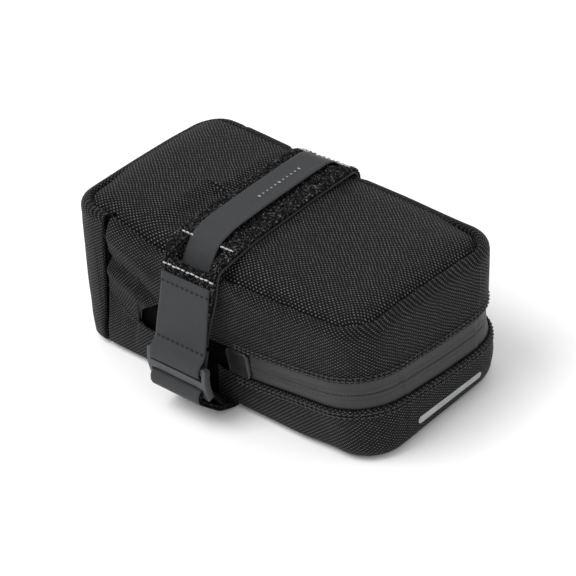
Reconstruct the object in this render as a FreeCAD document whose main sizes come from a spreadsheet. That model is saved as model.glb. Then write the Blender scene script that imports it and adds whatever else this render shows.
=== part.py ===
"""Bicycle saddle bag with a zipped rear mouth and a hook-and-loop rail strap.

Units are millimetres. X runs from the seat-post end (-X) to the zipped rear end (+X), Y across the bag and
Z up. The origin is the middle of the base, on the plane that the bag rests on. The bag shell is a set of
offset forms: a lofted body, cut by a sloping top, with a waist where the strap draws it in. Every sewn
panel is the space between two of those forms, bounded by the seams.
"""
import FreeCAD
import Part
import Sketcher
import math
import os

from FreeCAD import Placement, Rotation, Vector

SIZES = {
    # bag body: plan outline at the base and at the reference height, before the top is cut
    "ref_height": 90.0,
    "front_base": 87.0,
    "front_ref": 75.5,
    "rear_base": 79.5,
    "rear_ref": 80.5,
    "half_base": 41.0,
    "half_ref": 44.1,
    "front_corner": 14.0,
    "rear_corner": 19.0,
    "top_height": 71.2,
    "top_fall": 0.048,
    "top_round": 7.0,
    "base_round": 6.0,
    # layers, measured inwards from the outer face
    "tape_face": 0.8,
    "tape_back": 2.0,
    "wall": 3.0,
    "binding": 4.0,
    "panel_seam": 5.0,
    # waist under the strap
    "waist_front": 28.8,
    "waist_rear": 10.2,
    "waist_half": 41.2,
    "waist_top": 67.7,
    "waist_low": 2.65,
    "waist_top_round": 16.0,
    "waist_low_round": 10.0,
    # seams
    "welt_base": 74.0,
    "welt_lean": 13.5,
    "welt_width": 1.6,
    "hinge_line": 14.0,
    "hinge_gap": 0.3,
    # zip
    "zip_height": 26.2,
    "zip_rise_deg": 3.3,
    "zip_half": 7.0,
    "zip_gap": 0.4,
    "coil_half": 2.6,
    "zip_end": 36.5,
    "garage_near_front": 4.0,
    "garage_far_front": 5.6,
    "garage_rear": 16.6,
    "garage_half": 6.3,
    "garage_thick": 1.4,
    "garage_round": 2.4,
    # slider and pull
    "slider_place": 24.0,
    "slider_length": 9.0,
    "slider_half": 3.9,
    "plate_thick": 1.3,
    "pull_reach": 13.0,
    "pull_half": 2.6,
    "pull_thick": 1.2,
    "pin_radius": 0.7,
    "grip_length": 17.0,
    "grip_half": 3.6,
    # strap
    "strap_middle": -9.3,
    "wing_width": 38.0,
    "strap_width": 28.0,
    "wing_thick": 2.2,
    "web_thick": 1.2,
    "band_width": 16.0,
    "band_thick": 1.1,
    "band_crown": 75.6,
    "slot_width": 20.0,
    "slot_near": 30.8,
    "slot_far": 39.0,
    # buckle
    "ring_reach": 57.6,
    "ring_height": 21.8,
    "ring_curve": 22.0,
    "ring_thick": 2.6,
    "ring_width": 35.0,
    "ring_slot": 29.6,
    "bar_middle_deg": 4.6,
    "bar_inner_deg": 12.2,
    "bar_outer_deg": 19.2,
    "roll_split": 41.5,
    # boards and pocket
    "board_thick": 1.2,
    "board_half": 33.0,
    "board_height": 6.2,
    "top_board_half": 24.0,
}
FAR = 200.0  # longer than any piece: the size of the zone solids

doc = FreeCAD.newDocument("SaddleBag")
sheet = doc.addObject("Spreadsheet::Sheet", "Sizes")
for row, (alias, value) in enumerate(SIZES.items(), start=1):
    sheet.set(f"A{row}", alias)
    sheet.set(f"B{row}", str(value))
    sheet.setAlias(f"B{row}", alias)
doc.recompute()

NODES = []  # the objects that are sub-parts, in the order they are made


def size(alias):
    """A driving dimension, read from the sheet."""
    return float(sheet.get(alias))


def node(thing, label):
    """Marks a document object as a sub-part."""
    thing.Label = label
    NODES.append(thing)
    return thing


def shape_node(label, shape):
    """A sub-part whose shape is made with Part's own functions."""
    thing = doc.addObject("Part::Feature", label)
    thing.Shape = shape
    return node(thing, label)


def boolean(kind, name, *things):
    """Part::Cut, Part::Common or Part::Fuse of two things."""
    result = doc.addObject(f"Part::{kind}", name)
    result.Base, result.Tool = things
    return result


def zone(name, low, high, bound=None):
    """A Part::Box from one corner to the other. bound maps its properties to expressions."""
    box = doc.addObject("Part::Box", name)
    box.Length, box.Width, box.Height = (high[i] - low[i] for i in range(3))
    box.Placement = Placement(Vector(*low), Rotation())
    for prop, expression in (bound or {}).items():
        box.setExpression(prop, expression)
    return box


# ---------------------------------------------------------------- sketches

def outline_sketch(body, name, height, front, rear, half, front_round, rear_round):
    """A closed rectangle with rounded corners, level at a height. Every size is an expression on the sheet."""
    sketch = body.newObject("Sketcher::SketchObject", name)
    plane = next(f for f in body.Origin.OriginFeatures if f.Role == "XY_Plane")
    sketch.AttachmentSupport = [(plane, "")]
    sketch.MapMode = "FlatFace"
    sketch.setExpression("AttachmentOffset.Base.z", height)
    x0, x1, y, r0, r1 = -80.0, 80.0, 40.0, 12.0, 20.0
    lines = [
        (Vector(x0 + r0, -y, 0), Vector(x1 - r1, -y, 0)),
        (Vector(x1, -y + r1, 0), Vector(x1, y - r1, 0)),
        (Vector(x1 - r1, y, 0), Vector(x0 + r0, y, 0)),
        (Vector(x0, y - r0, 0), Vector(x0, -y + r0, 0)),
    ]
    corners = [
        (Vector(x1 - r1, -y + r1, 0), r1, -90, 0),
        (Vector(x1 - r1, y - r1, 0), r1, 0, 90),
        (Vector(x0 + r0, y - r0, 0), r0, 90, 180),
        (Vector(x0 + r0, -y + r0, 0), r0, 180, 270),
    ]
    for a, b in lines:
        sketch.addGeometry(Part.LineSegment(a, b), False)
    for centre, radius, start, end in corners:
        circle = Part.Circle(centre, Vector(0, 0, 1), radius)
        sketch.addGeometry(Part.ArcOfCircle(circle, math.radians(start), math.radians(end)), False)
    for i in range(4):
        sketch.addConstraint(Sketcher.Constraint("Tangent", i, 2, 4 + i, 1))
        sketch.addConstraint(Sketcher.Constraint("Tangent", 4 + i, 2, (i + 1) % 4, 1))
        sketch.addConstraint(Sketcher.Constraint("Horizontal" if i % 2 == 0 else "Vertical", i))
    origin = (-1, 1)
    sized = [
        (("DistanceX", *origin, 1, 1), x1, rear),
        (("DistanceX", 3, 1, *origin), -x0, front),
        (("DistanceY", *origin, 2, 1), y, half),
        (("DistanceY", 0, 1, *origin), y, half),
        (("Radius", 4), r1, rear_round),
        (("Radius", 5), r1, rear_round),
        (("Radius", 6), r0, front_round),
        (("Radius", 7), r0, front_round),
    ]
    for what, start, expression in sized:
        index = sketch.addConstraint(Sketcher.Constraint(*what, start))
        sketch.setExpression(f"Constraints[{index}]", expression)
    return sketch


def lofted_body(name, inset, low, high):
    """The tapering body between two outlines, drawn in by inset all round, from a low to a high level."""
    body = doc.addObject("PartDesign::Body", name)

    def outline(tag, level):
        share = f"(({level}) / Sizes.ref_height)"
        return outline_sketch(
            body, f"{name}_{tag}", level,
            f"Sizes.front_base + (Sizes.front_ref - Sizes.front_base) * {share} - ({inset})",
            f"Sizes.rear_base + (Sizes.rear_ref - Sizes.rear_base) * {share} - ({inset})",
            f"Sizes.half_base + (Sizes.half_ref - Sizes.half_base) * {share} - ({inset})",
            f"Sizes.front_corner - ({inset})",
            f"Sizes.rear_corner - ({inset})",
        )

    bottom, top = outline("base", low), outline("ref", high)
    loft = body.newObject("PartDesign::AdditiveLoft", f"{name}_loft")
    loft.Profile = bottom
    loft.Sections = [top]
    loft.Ruled = True
    doc.recompute()
    return body


def bag_form(name, inset_alias):
    """The bag's whole outside, or its inside at a layer's depth, with the sloping top and the waist."""
    inset = f"Sizes.{inset_alias}" if inset_alias else "0"
    depth = size(inset_alias) if inset_alias else 0.0
    body = lofted_body(f"{name}_body", inset, inset, "Sizes.ref_height")
    slope = math.degrees(math.atan(size("top_fall")))
    above = zone(f"{name}_above", (0, 0, 0), (2 * FAR, 2 * FAR, FAR))
    above.Placement = Placement(
        Vector(0, 0, size("top_height") - depth), Rotation(Vector(0, 1, 0), slope)
    ).multiply(Placement(Vector(-FAR, -FAR, 0), Rotation()))
    capped = boolean("Cut", f"{name}_capped", body, above)
    doc.recompute()
    rounds = []
    for index, edge in enumerate(capped.Shape.Edges, start=1):
        ends = [v.Point for v in edge.Vertexes]
        if all(abs(p.z - (size("top_height") - depth - size("top_fall") * p.x)) < 0.05 for p in ends):
            rounds.append((index, size("top_round") - depth, size("top_round") - depth))
        elif all(abs(p.z - depth) < 0.05 for p in ends):
            rounds.append((index, size("base_round") - depth, size("base_round") - depth))
    rounded = doc.addObject("Part::Fillet", f"{name}_rounded")
    rounded.Base = capped
    rounded.Edges = rounds
    # the waist: everything outside a rounded section is taken off under the strap
    low_x, high_x = -size("waist_front") - depth, size("waist_rear") + depth
    groove = zone(f"{name}_groove", (low_x, -FAR, -FAR), (high_x, FAR, FAR))
    half, top, low = size("waist_half") - depth, size("waist_top") - depth, size("waist_low") + depth
    section = zone(f"{name}_section", (low_x - 1, -half, low), (high_x + 1, half, top))
    doc.recompute()
    edges = []
    for index, edge in enumerate(section.Shape.Edges, start=1):
        middle = edge.CenterOfMass
        if abs(abs(middle.y) - half) < 0.01 and abs(middle.x - (low_x + high_x) / 2) < 0.01:
            alias = "waist_top_round" if middle.z > 20 else "waist_low_round"
            edges.append((index, size(alias) - depth, size(alias) - depth))
    drawn_in = doc.addObject("Part::Fillet", f"{name}_drawn_in")
    drawn_in.Base = section
    drawn_in.Edges = edges
    cutter = boolean("Cut", f"{name}_cutter", groove, drawn_in)
    form = boolean("Cut", f"{name}_form", rounded, cutter)
    doc.recompute()
    return form


# ---------------------------------------------------------------- forms and zones

face = bag_form("face", None)
tape_face = bag_form("tape_outer", "tape_face")
tape_back = bag_form("tape_inner", "tape_back")
wall = bag_form("wall_inner", "wall")
lining = bag_form("lining", "binding")
plan_core = lofted_body("plan_core", "Sizes.panel_seam", "0", "Sizes.ref_height")

skin = boolean("Cut", "skin", face, wall)
side_ring = boolean("Cut", "side_ring", skin, plan_core)
panels = boolean("Common", "panels", skin, plan_core)

hinge, gap = size("hinge_line"), size("hinge_gap")
fixed_zone = zone("fixed_zone", (-FAR, -FAR, -FAR), (hinge - gap, FAR, FAR))
lid_zone = zone("lid_zone", (hinge + gap, -FAR, -FAR), (FAR, FAR, FAR))
near_zone = zone("near_zone", (-FAR, -FAR, -FAR), (FAR, 0, FAR))
far_zone = zone("far_zone", (-FAR, 0, -FAR), (FAR, FAR, FAR))
upper_half = zone("upper_half", (-FAR, -FAR, 40), (FAR, FAR, FAR))
lower_half = zone("lower_half", (-FAR, -FAR, -FAR), (FAR, FAR, 40))


def zip_frame():
    """A frame on the zip's line: its X runs along the line, which rises towards the rear."""
    return Placement(Vector(0, 0, size("zip_height")), Rotation(Vector(0, 1, 0), -size("zip_rise_deg")))


def zip_zone(name, x0, x1, z0, z1):
    """A slab across the bag, square to the zip's line."""
    slab = zone(name, (0, 0, 0), (x1 - x0, 2 * FAR, z1 - z0))
    slab.Placement = zip_frame().multiply(Placement(Vector(x0, -FAR, z0), Rotation()))
    return slab


zip_half, zip_gap, zip_end = size("zip_half"), size("zip_gap"), size("zip_end")
band_slab = zip_zone("band_slab", -zip_end, FAR, -zip_half, zip_half)
band_end = doc.addObject("Part::Cylinder", "band_end")
band_end.Height = 2 * FAR
band_end.setExpression("Radius", "Sizes.zip_half")
band_end.Placement = zip_frame().multiply(
    Placement(Vector(-zip_end, FAR, 0), Rotation(Vector(1, 0, 0), 90))
)
band_zone = boolean("Fuse", "band_zone", band_slab, band_end)
below_zip = zip_zone("below_zip", -FAR, FAR, -FAR, 0)
above_zip = zip_zone("above_zip", -FAR, FAR, 0, FAR)

welt_frame = Placement(
    Vector(-size("welt_base"), 0, 0), Rotation(Vector(0, 1, 0), size("welt_lean"))
)
front_zone = zone("front_zone", (0, 0, 0), (FAR, 2 * FAR, 2 * FAR))
front_zone.Placement = welt_frame.multiply(Placement(Vector(-FAR, -FAR, -FAR), Rotation()))
welt_zone = zone("welt_zone", (0, 0, 0), (size("welt_width"), 2 * FAR, 2 * FAR),
                 {"Length": "Sizes.welt_width"})
welt_zone.Placement = welt_frame.multiply(Placement(Vector(0, -FAR, -FAR), Rotation()))


# ---------------------------------------------------------------- sewn panels

def make_panels():
    """The top and base panels, each the skin inside the panel seam."""
    top = boolean("Common", "top_panels", panels, upper_half)
    node(boolean("Common", "top_panel_front", top, fixed_zone), "top_panel_front")
    node(boolean("Common", "top_panel_rear", top, lid_zone), "top_panel_rear")
    node(boolean("Common", "base_panel", panels, lower_half), "base_panel")


def make_walls():
    """The front panel, the piping beside it and the side walls above and below the zip."""
    node(boolean("Common", "front_panel", side_ring, front_zone), "front_panel")
    behind = boolean("Cut", "behind_front", side_ring, front_zone)
    outer_skin = boolean("Cut", "outer_skin", face, tape_face)
    outer_side = boolean("Cut", "outer_side", outer_skin, plan_core)
    piping = boolean("Common", "piping", outer_side, welt_zone)
    node(boolean("Common", "piping_near", piping, near_zone), "piping_near")
    node(boolean("Common", "piping_far", piping, far_zone), "piping_far")
    plain = boolean("Cut", "side_plain", behind, piping)
    side = boolean("Cut", "side_open", plain, band_zone)
    lower = boolean("Common", "lower_walls", side, below_zip)
    mark_zone = zone("mark_zone", (60, -15, 6.6), (FAR, 26, 10.6))
    mark = boolean("Common", "rear_mark", outer_skin, mark_zone)
    node(mark, "reflective_mark")
    node(boolean("Cut", "lower_side_wall", lower, mark), "lower_side_wall")
    upper = boolean("Common", "upper_walls", side, above_zip)
    node(boolean("Common", "upper_side_wall_rear", upper, lid_zone), "upper_side_wall_rear")
    fixed = boolean("Common", "upper_fixed", upper, fixed_zone)
    node(boolean("Common", "upper_side_wall_near", fixed, near_zone), "upper_side_wall_near")
    node(boolean("Common", "upper_side_wall_far", fixed, far_zone), "upper_side_wall_far")


def make_inside():
    """Seam bindings, stiffening boards and the mesh pocket."""
    ring = boolean("Cut", "binding_ring", wall, lining)
    low_band = zone("low_band", (-FAR, -FAR, 8.0), (FAR, FAR, 12.5))
    node(boolean("Common", "base_seam_binding", ring, low_band), "base_seam_binding")
    high_band = zone("high_band", (-FAR, -FAR, 46.0), (FAR, FAR, 50.0))
    high = boolean("Common", "high_binding", ring, high_band)
    node(boolean("Common", "top_binding_front", high, fixed_zone), "top_seam_binding_front")
    node(boolean("Common", "top_binding_rear", high, lid_zone), "top_seam_binding_rear")

    half, thick, level = size("board_half"), size("board_thick"), size("board_height")
    floor = zone("floor_zone", (-76, -half, level), (71, half, level + thick), {"Height": "Sizes.board_thick"})
    node(boolean("Common", "base_stiffener", plan_core, floor), "base_stiffener")
    slope = math.degrees(math.atan(size("top_fall")))
    half = size("top_board_half")
    under = size("top_height") - size("wall") - 0.9 - thick
    for label, x0, x1 in (("top_stiffener_front", -67, -38), ("top_stiffener_rear", 20, 66)):
        board = zone(f"{label}_zone", (0, 0, 0), (x1 - x0, 2 * half, thick), {"Height": "Sizes.board_thick"})
        board.Placement = Placement(Vector(0, 0, under), Rotation(Vector(0, 1, 0), slope)).multiply(
            Placement(Vector(x0, -half, 0), Rotation())
        )
        node(boolean("Common", label, plan_core, board), label)

    mesh = 0.6
    depth, x0, x1, z0, z1 = 33.6, -60.0, -34.0, 14.0, 45.0
    block = zone("pocket_block", (x0, depth, z0), (x1, FAR, z1))
    hollow = zone("pocket_hollow", (x0 + mesh, depth + mesh, z0 + mesh), (x1 - mesh, FAR, FAR))
    inside = boolean("Common", "pocket_inside", lining, block)
    node(boolean("Cut", "inner_pocket", inside, hollow), "inner_pocket")
    node(zone("pocket_elastic", (x0, depth - 1.6, z1 - 5), (x1, depth - 0.1, z1)), "pocket_elastic")


# ---------------------------------------------------------------- zip

def make_zip():
    """Both tapes with their coils, the black end pieces, the rubber garages, the slider and its pull."""
    tape = boolean("Cut", "tape_ring", tape_face, tape_back)
    coil = boolean("Cut", "coil_ring", tape_back, wall)
    for side, sign in (("lower", -1), ("upper", 1)):
        spans = {
            "tape": (tape, sorted((sign * zip_gap, sign * zip_half))),
            "coil": (coil, sorted((sign * (zip_gap + 0.1), sign * size("coil_half")))),
        }
        for what, (ring, (z0, z1)) in spans.items():
            strip = boolean("Common", f"{what}_{side}_strip", ring,
                            zip_zone(f"{what}_{side}_zone", -FAR, FAR, z0, z1))
            node(boolean("Common", f"zip_{what}_{side}", strip, lid_zone), f"zip_{what}_{side}")
    ends = boolean("Common", "tape_ends", boolean("Common", "tape_band", tape, band_zone), fixed_zone)
    for side, where in (("near", near_zone), ("far", far_zone)):
        node(boolean("Common", f"zip_end_{side}", ends, where), f"zip_end_patch_{side}")
    lean = math.degrees(math.atan((size("half_ref") - size("half_base")) / size("ref_height")))
    for side, sign, x0, x1 in (
        ("near", -1, size("garage_near_front"), size("garage_rear")),
        ("far", 1, size("garage_far_front"), size("garage_rear")),
    ):
        garage(side, sign, lean, x0, x1)
    slider(lean)


def side_frame(x, sign, lean):
    """A frame on the outer face of a side wall at the zip's line: X along the zip, Y outwards."""
    height = size("zip_height") + x * math.tan(math.radians(size("zip_rise_deg")))
    half = size("half_base") + (size("half_ref") - size("half_base")) * height / size("ref_height")
    turn = Rotation(Vector(1, 0, 0), -sign * lean).multiply(
        Rotation(Vector(0, 1, 0), -size("zip_rise_deg"))
    )
    return Placement(Vector(x, sign * half, height), turn)


def garage(side, sign, lean, x0, x1):
    """A flat rubber patch with rounded corners, over the start of the zip."""
    half, thick = size("garage_half"), size("garage_thick")
    sunk = size("tape_face") - 0.1
    plate = zone(f"garage_{side}_plate", (0, 0, 0), (x1 - x0, thick, 2 * half),
                 {"Width": "Sizes.garage_thick", "Height": "2 * Sizes.garage_half"})
    low = -sunk if sign > 0 else sunk - thick
    plate.Placement = side_frame(0, sign, lean).multiply(Placement(Vector(x0, low, -half), Rotation()))
    doc.recompute()
    axis = plate.Placement.Rotation.multVec(Vector(0, 1, 0))
    corners = [
        (i, size("garage_round"), size("garage_round"))
        for i, e in enumerate(plate.Shape.Edges, start=1)
        if abs(abs(e.tangentAt(e.FirstParameter).dot(axis)) - 1) < 1e-6
    ]
    patch = doc.addObject("Part::Fillet", f"zip_garage_{side}")
    patch.Base = plate
    patch.Edges = corners
    node(patch, f"zip_garage_{side}")


def slider(lean):
    """The slider: outer plate, post, inner plate and bail, then the pull link and its rubber grip."""
    place = side_frame(size("slider_place"), 1, lean)
    length, half, thick = size("slider_length"), size("slider_half"), size("plate_thick")
    clear = 0.25
    outer_y = -size("tape_face") + clear
    inner_y = -size("wall") - clear - thick
    plate = Part.makeBox(length, thick, 2 * half, Vector(-length / 2, outer_y, -half))
    plate = plate.makeFillet(2.2, [e for e in plate.Edges if abs(e.tangentAt(0).y) > 0.9])
    back = Part.makeBox(length - 1, thick, 2 * half - 1, Vector(-length / 2 + 0.5, inner_y, -half + 0.5))
    back = back.makeFillet(1.8, [e for e in back.Edges if abs(e.tangentAt(0).y) > 0.9])
    post_half = zip_gap - 0.15
    post = Part.makeBox(3.4, outer_y - inner_y, 2 * post_half, Vector(-1.7, inner_y + 0.1, -post_half))
    pin_y = outer_y + thick + size("pin_radius") + 0.35
    bail_outer = Part.makeCylinder(2.3, 3.0, Vector(0, pin_y - 0.2, -1.5), Vector(0, 0, 1))
    bail_inner = Part.makeCylinder(size("pin_radius") + 0.35, 3.0, Vector(0, pin_y, -1.5), Vector(0, 0, 1))
    body = plate.fuse([back, post, bail_outer]).cut(bail_inner)
    keep = Part.makeBox(FAR, FAR, FAR, Vector(-FAR / 2, inner_y, -FAR / 2))
    made = shape_node("zip_slider", body.common(keep).removeSplitter())
    made.Placement = place

    # the link: a pin through the bail, two cheeks beside it and a tongue that holds the grip
    pin_r, pull_half, pull_t = size("pin_radius"), size("pull_half"), size("pull_thick")
    reach = size("pull_reach")
    pin = Part.makeCylinder(pin_r, 2 * pull_half, Vector(0, pin_y, -pull_half), Vector(0, 0, 1))
    plate_y = pin_y - pull_t / 2
    cheeks = [
        Part.makeBox(6.0, pull_t, pull_half - 1.7, Vector(-0.6, plate_y, z))
        for z in (-pull_half, 1.7)
    ]
    tongue = Part.makeBox(reach - 3.4, pull_t, 2 * pull_half, Vector(3.4, plate_y, -pull_half))
    link = pin.fuse([*cheeks, tongue]).removeSplitter()
    made = shape_node("pull_link", link)
    made.Placement = place
    grip_l, grip_half = size("grip_length"), size("grip_half")
    block = Part.makeBox(grip_l, pull_t + 1.6, 2 * grip_half, Vector(5.4, plate_y - 0.8, -grip_half))
    block = block.makeFillet(2.6, [e for e in block.Edges if abs(e.tangentAt(0).y) > 0.9])
    grip = block.cut(tongue)
    made = shape_node("pull_grip", grip)
    made.Placement = place


# ---------------------------------------------------------------- strap

def ribbon(points, radii, thick, width, middle):
    """A strip of webbing: a path in the YZ plane of straight runs and tangent arcs, given its thickness
    and a width along X. radii has one entry for each inner point."""
    centre = []
    for i, (y, z) in enumerate(points):
        p = Vector(0, y, z)
        if 0 < i < len(points) - 1:
            before, after = (Vector(0, *points[j]) for j in (i - 1, i + 1))
            into, out = (p - before).normalize(), (after - p).normalize()
            turn = math.acos(max(-1.0, min(1.0, into.dot(out))))
            trim = radii[i - 1] * math.tan(turn / 2)
            sign = 1 if into.cross(out).x > 0 else -1
            centre.append(("arc", p - into * trim, p + out * trim, into, out, radii[i - 1], sign))
        else:
            centre.append(("end", p))

    def side(offset):
        """The edges of one face of the strip, and its two end points."""
        edges, last = [], None
        for i, item in enumerate(centre):
            if item[0] == "end":
                other = centre[1] if i == 0 else centre[-2]
                if len(centre) == 2:
                    run = (centre[1][1] - centre[0][1]).normalize()
                else:
                    run = other[3] if i == 0 else other[4]
                here = item[1] + left(run) * offset
                if last is not None:
                    edges.append(Part.LineSegment(last, here).toShape())
                else:
                    first = here
                last = here
            else:
                _, a, b, into, out, radius, sign = item
                hub = a + left(into) * radius * sign
                start, end = a + left(into) * offset, b + left(out) * offset
                middle_dir = (a - hub + b - hub).normalize()
                through = hub + middle_dir * (radius - offset * sign)
                if (start - last).Length > 1e-6:
                    edges.append(Part.LineSegment(last, start).toShape())
                edges.append(Part.Arc(start, through, end).toShape())
                last = end
        return edges, first, last

    def left(run):
        return Vector(1, 0, 0).cross(run)

    one, a0, a1 = side(thick / 2)
    two, b0, b1 = side(-thick / 2)
    caps = [Part.LineSegment(a1, b1).toShape(), Part.LineSegment(b0, a0).toShape()]
    wire = Part.Wire(Part.__sortEdges__(one + two + caps))
    strip = Part.Face(wire).extrude(Vector(width, 0, 0))
    strip.translate(Vector(middle - width / 2, 0, 0))
    return strip


LEAN = math.radians(17)  # how far the strap leans out from the near side
CORNER = (35.5, 60.8)  # centre of the strap's turn over the bag's top edge, |y| and z
TURN = 8.3  # radius of that turn, to the middle of the wing


def near_run(z, offset=0.0):
    """A point on the leaning run down the near side, offset outwards from the wing's middle."""
    start = (-CORNER[0] - TURN * math.cos(LEAN), CORNER[1] + TURN * math.sin(LEAN))
    y = start[0] - (start[1] - z) * math.tan(LEAN)
    return (y - offset * math.cos(LEAN), z + offset * math.sin(LEAN))


def ring_point(degrees, offset=0.0):
    """A point on the buckle's curved plate: the angle up from its middle and the offset outwards."""
    r = size("ring_curve") + offset
    hub = -size("ring_reach") + size("ring_curve")
    a = math.radians(degrees)
    return (hub - r * math.cos(a), size("ring_height") + r * math.sin(a))


def make_strap():
    """The loop-faced wing with its two slots, the rail band, the near facing, and the tail webbing."""
    middle, thick = size("strap_middle"), size("wing_thick")
    top = CORNER[1] + TURN
    knee = near_run(top)
    path = [(CORNER[0] + TURN, 51), (CORNER[0] + TURN, top), knee, near_run(35.9)]
    wing = ribbon(path, [TURN, TURN], thick, size("wing_width"), middle)
    wide, narrow = size("wing_width") / 2, size("strap_width") / 2
    taper = [(wide, 33), (narrow, 43), (narrow, 90)]
    outline = [Vector(middle + x, -y, -10) for x, y in taper]
    outline += [Vector(middle - x, -y, -10) for x, y in reversed(taper)]
    outline += [Vector(middle - x, y, -10) for x, y in taper]
    outline += [Vector(middle + x, y, -10) for x, y in reversed(taper)]
    plan = Part.Face(Part.makePolygon([*outline, outline[0]])).extrude(Vector(0, 0, FAR))
    wing = wing.common(plan)
    slot = size("slot_width")
    for low in (-size("slot_far"), size("slot_near")):
        length = size("slot_far") - size("slot_near")
        hole = Part.makeBox(slot, length, FAR, Vector(middle - slot / 2, low, 60))
        hole = hole.makeFillet(2.5, [e for e in hole.Edges if abs(e.tangentAt(0).z) > 0.9])
        wing = wing.cut(hole)
    shape_node("strap_wing", wing)

    crown = size("band_crown")
    half = [(22, crown - 0.9), (31, crown - 3.2), (35.2, 67.4), (39.0, 62.0), (42.9, 54.5)]
    path = [(-y, z) for y, z in reversed(half)] + [(0, crown)]
    path += [(y, z) for y, z in half[:-2]] + [(38.6, 62.6), (40.9, 58.6)]
    radii = [9, 9, 9, 30, 60, 30, 9, 9, 6]
    shape_node("rail_band", ribbon(path, radii, size("band_thick"), size("band_width"), middle))

    facing = 0.9
    off = thick / 2 + facing / 2 + 0.02
    bar = (size("bar_inner_deg") + size("bar_outer_deg")) / 2
    around = size("ring_thick") / 2 + facing / 2 + 0.35
    slot_mid = (size("bar_middle_deg") + size("bar_inner_deg")) / 2
    path = [
        near_run(60.3, off),
        near_run(32.0, off),
        ring_point(bar + 3, around + 0.3),
        ring_point(slot_mid + 0.4, around + 0.1),
        ring_point(slot_mid + 0.4, -around - 0.1),
        ring_point(bar + 4, -around - 0.1),
        near_run(34.9, -0.1),
    ]
    shape_node("strap_facing", ribbon(path, [6, 4, 0.9, 0.9, 2], facing, size("strap_width"), middle))

    make_tail_webbing()
    make_stitches(off)


def make_tail_webbing():
    """The webbing from the wing down the far side and under the bag, its roll round the buckle's lower
    bar, the layer that comes back below it, and the free end that presses on to the far side."""
    web, width, middle = size("web_thick"), size("strap_width"), size("strap_middle")
    upper, lower = 1.3 + web / 2, web / 2
    inner_y = size("waist_half") + 0.2 + web / 2
    outer_y = inner_y + web + 0.35
    split = size("roll_split")
    slot_angle = (size("bar_middle_deg") + size("bar_inner_deg")) / 2
    bar_low = ring_point(-slot_angle)[1]
    inner = [(inner_y, 62.5), (inner_y, upper), (-split, upper)]
    shape_node("strap_inner_layer", ribbon(inner, [9.4], web, width, middle))
    roll = [
        (-split - 0.4, upper),
        (-46.5, upper),
        (-53.2, 14.1),
        (-53.6, bar_low),
        (-60.2, bar_low),
        (-61.0, 13.8),
        (-49.0, lower),
        (-split - 0.4, lower),
    ]
    radii = [5, 4, 1.6, 2.4, 3.0, 8]
    shape_node("strap_roll", ribbon(roll, radii, web, width, middle))
    outer = [(-split, lower), (outer_y, lower), (outer_y, 13.5)]
    shape_node("strap_outer_layer", ribbon(outer, [10.8], web, width, middle))
    flap = [(outer_y, 15.2), (outer_y, 48.0)]
    shape_node("strap_free_end", ribbon(flap, [], web, width, middle))


def row_of_stitches(y, z, count, spread, radius=0.35, length=2.2):
    """Short thread stitches in a row along X."""
    middle = size("strap_middle")
    pitch = spread / count
    made = []
    for i in range(count):
        x = middle - spread / 2 + pitch * (i + 0.5)
        stitch = Part.makeCylinder(radius, length, Vector(x - length / 2, y, z), Vector(1, 0, 0))
        made.append(stitch)
    return made


def make_stitches(off):
    """The pale bar tacks on the wing and the dark rows that hold the near facing."""
    top = CORNER[1] + TURN + size("wing_thick") / 2 + 0.36
    pale = []
    for sign in (-1, 1):
        for x_sign in (-1, 1):
            for i in range(3):
                x = size("strap_middle") + x_sign * (10.4 + 2.5 * i) - 1.1
                pale.append(Part.makeCylinder(0.35, 2.2, Vector(x, sign * 29.0, top), Vector(1, 0, 0)))
        turn = math.radians(48)
        reach = TURN + size("wing_thick") / 2 + 0.36
        y = sign * (CORNER[0] + reach * math.sin(turn))
        z = CORNER[1] + reach * math.cos(turn)
        pale += row_of_stitches(y, z, 9, size("strap_width") - 2)
    shape_node("wing_stitches", Part.makeCompound(pale))
    dark = []
    for z in (56.6, 34.0):
        y, level = near_run(z, off + 0.45 + 0.36)
        dark += row_of_stitches(y, level, 9, size("strap_width") - 2)
    shape_node("facing_stitches", Part.makeCompound(dark))


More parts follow.
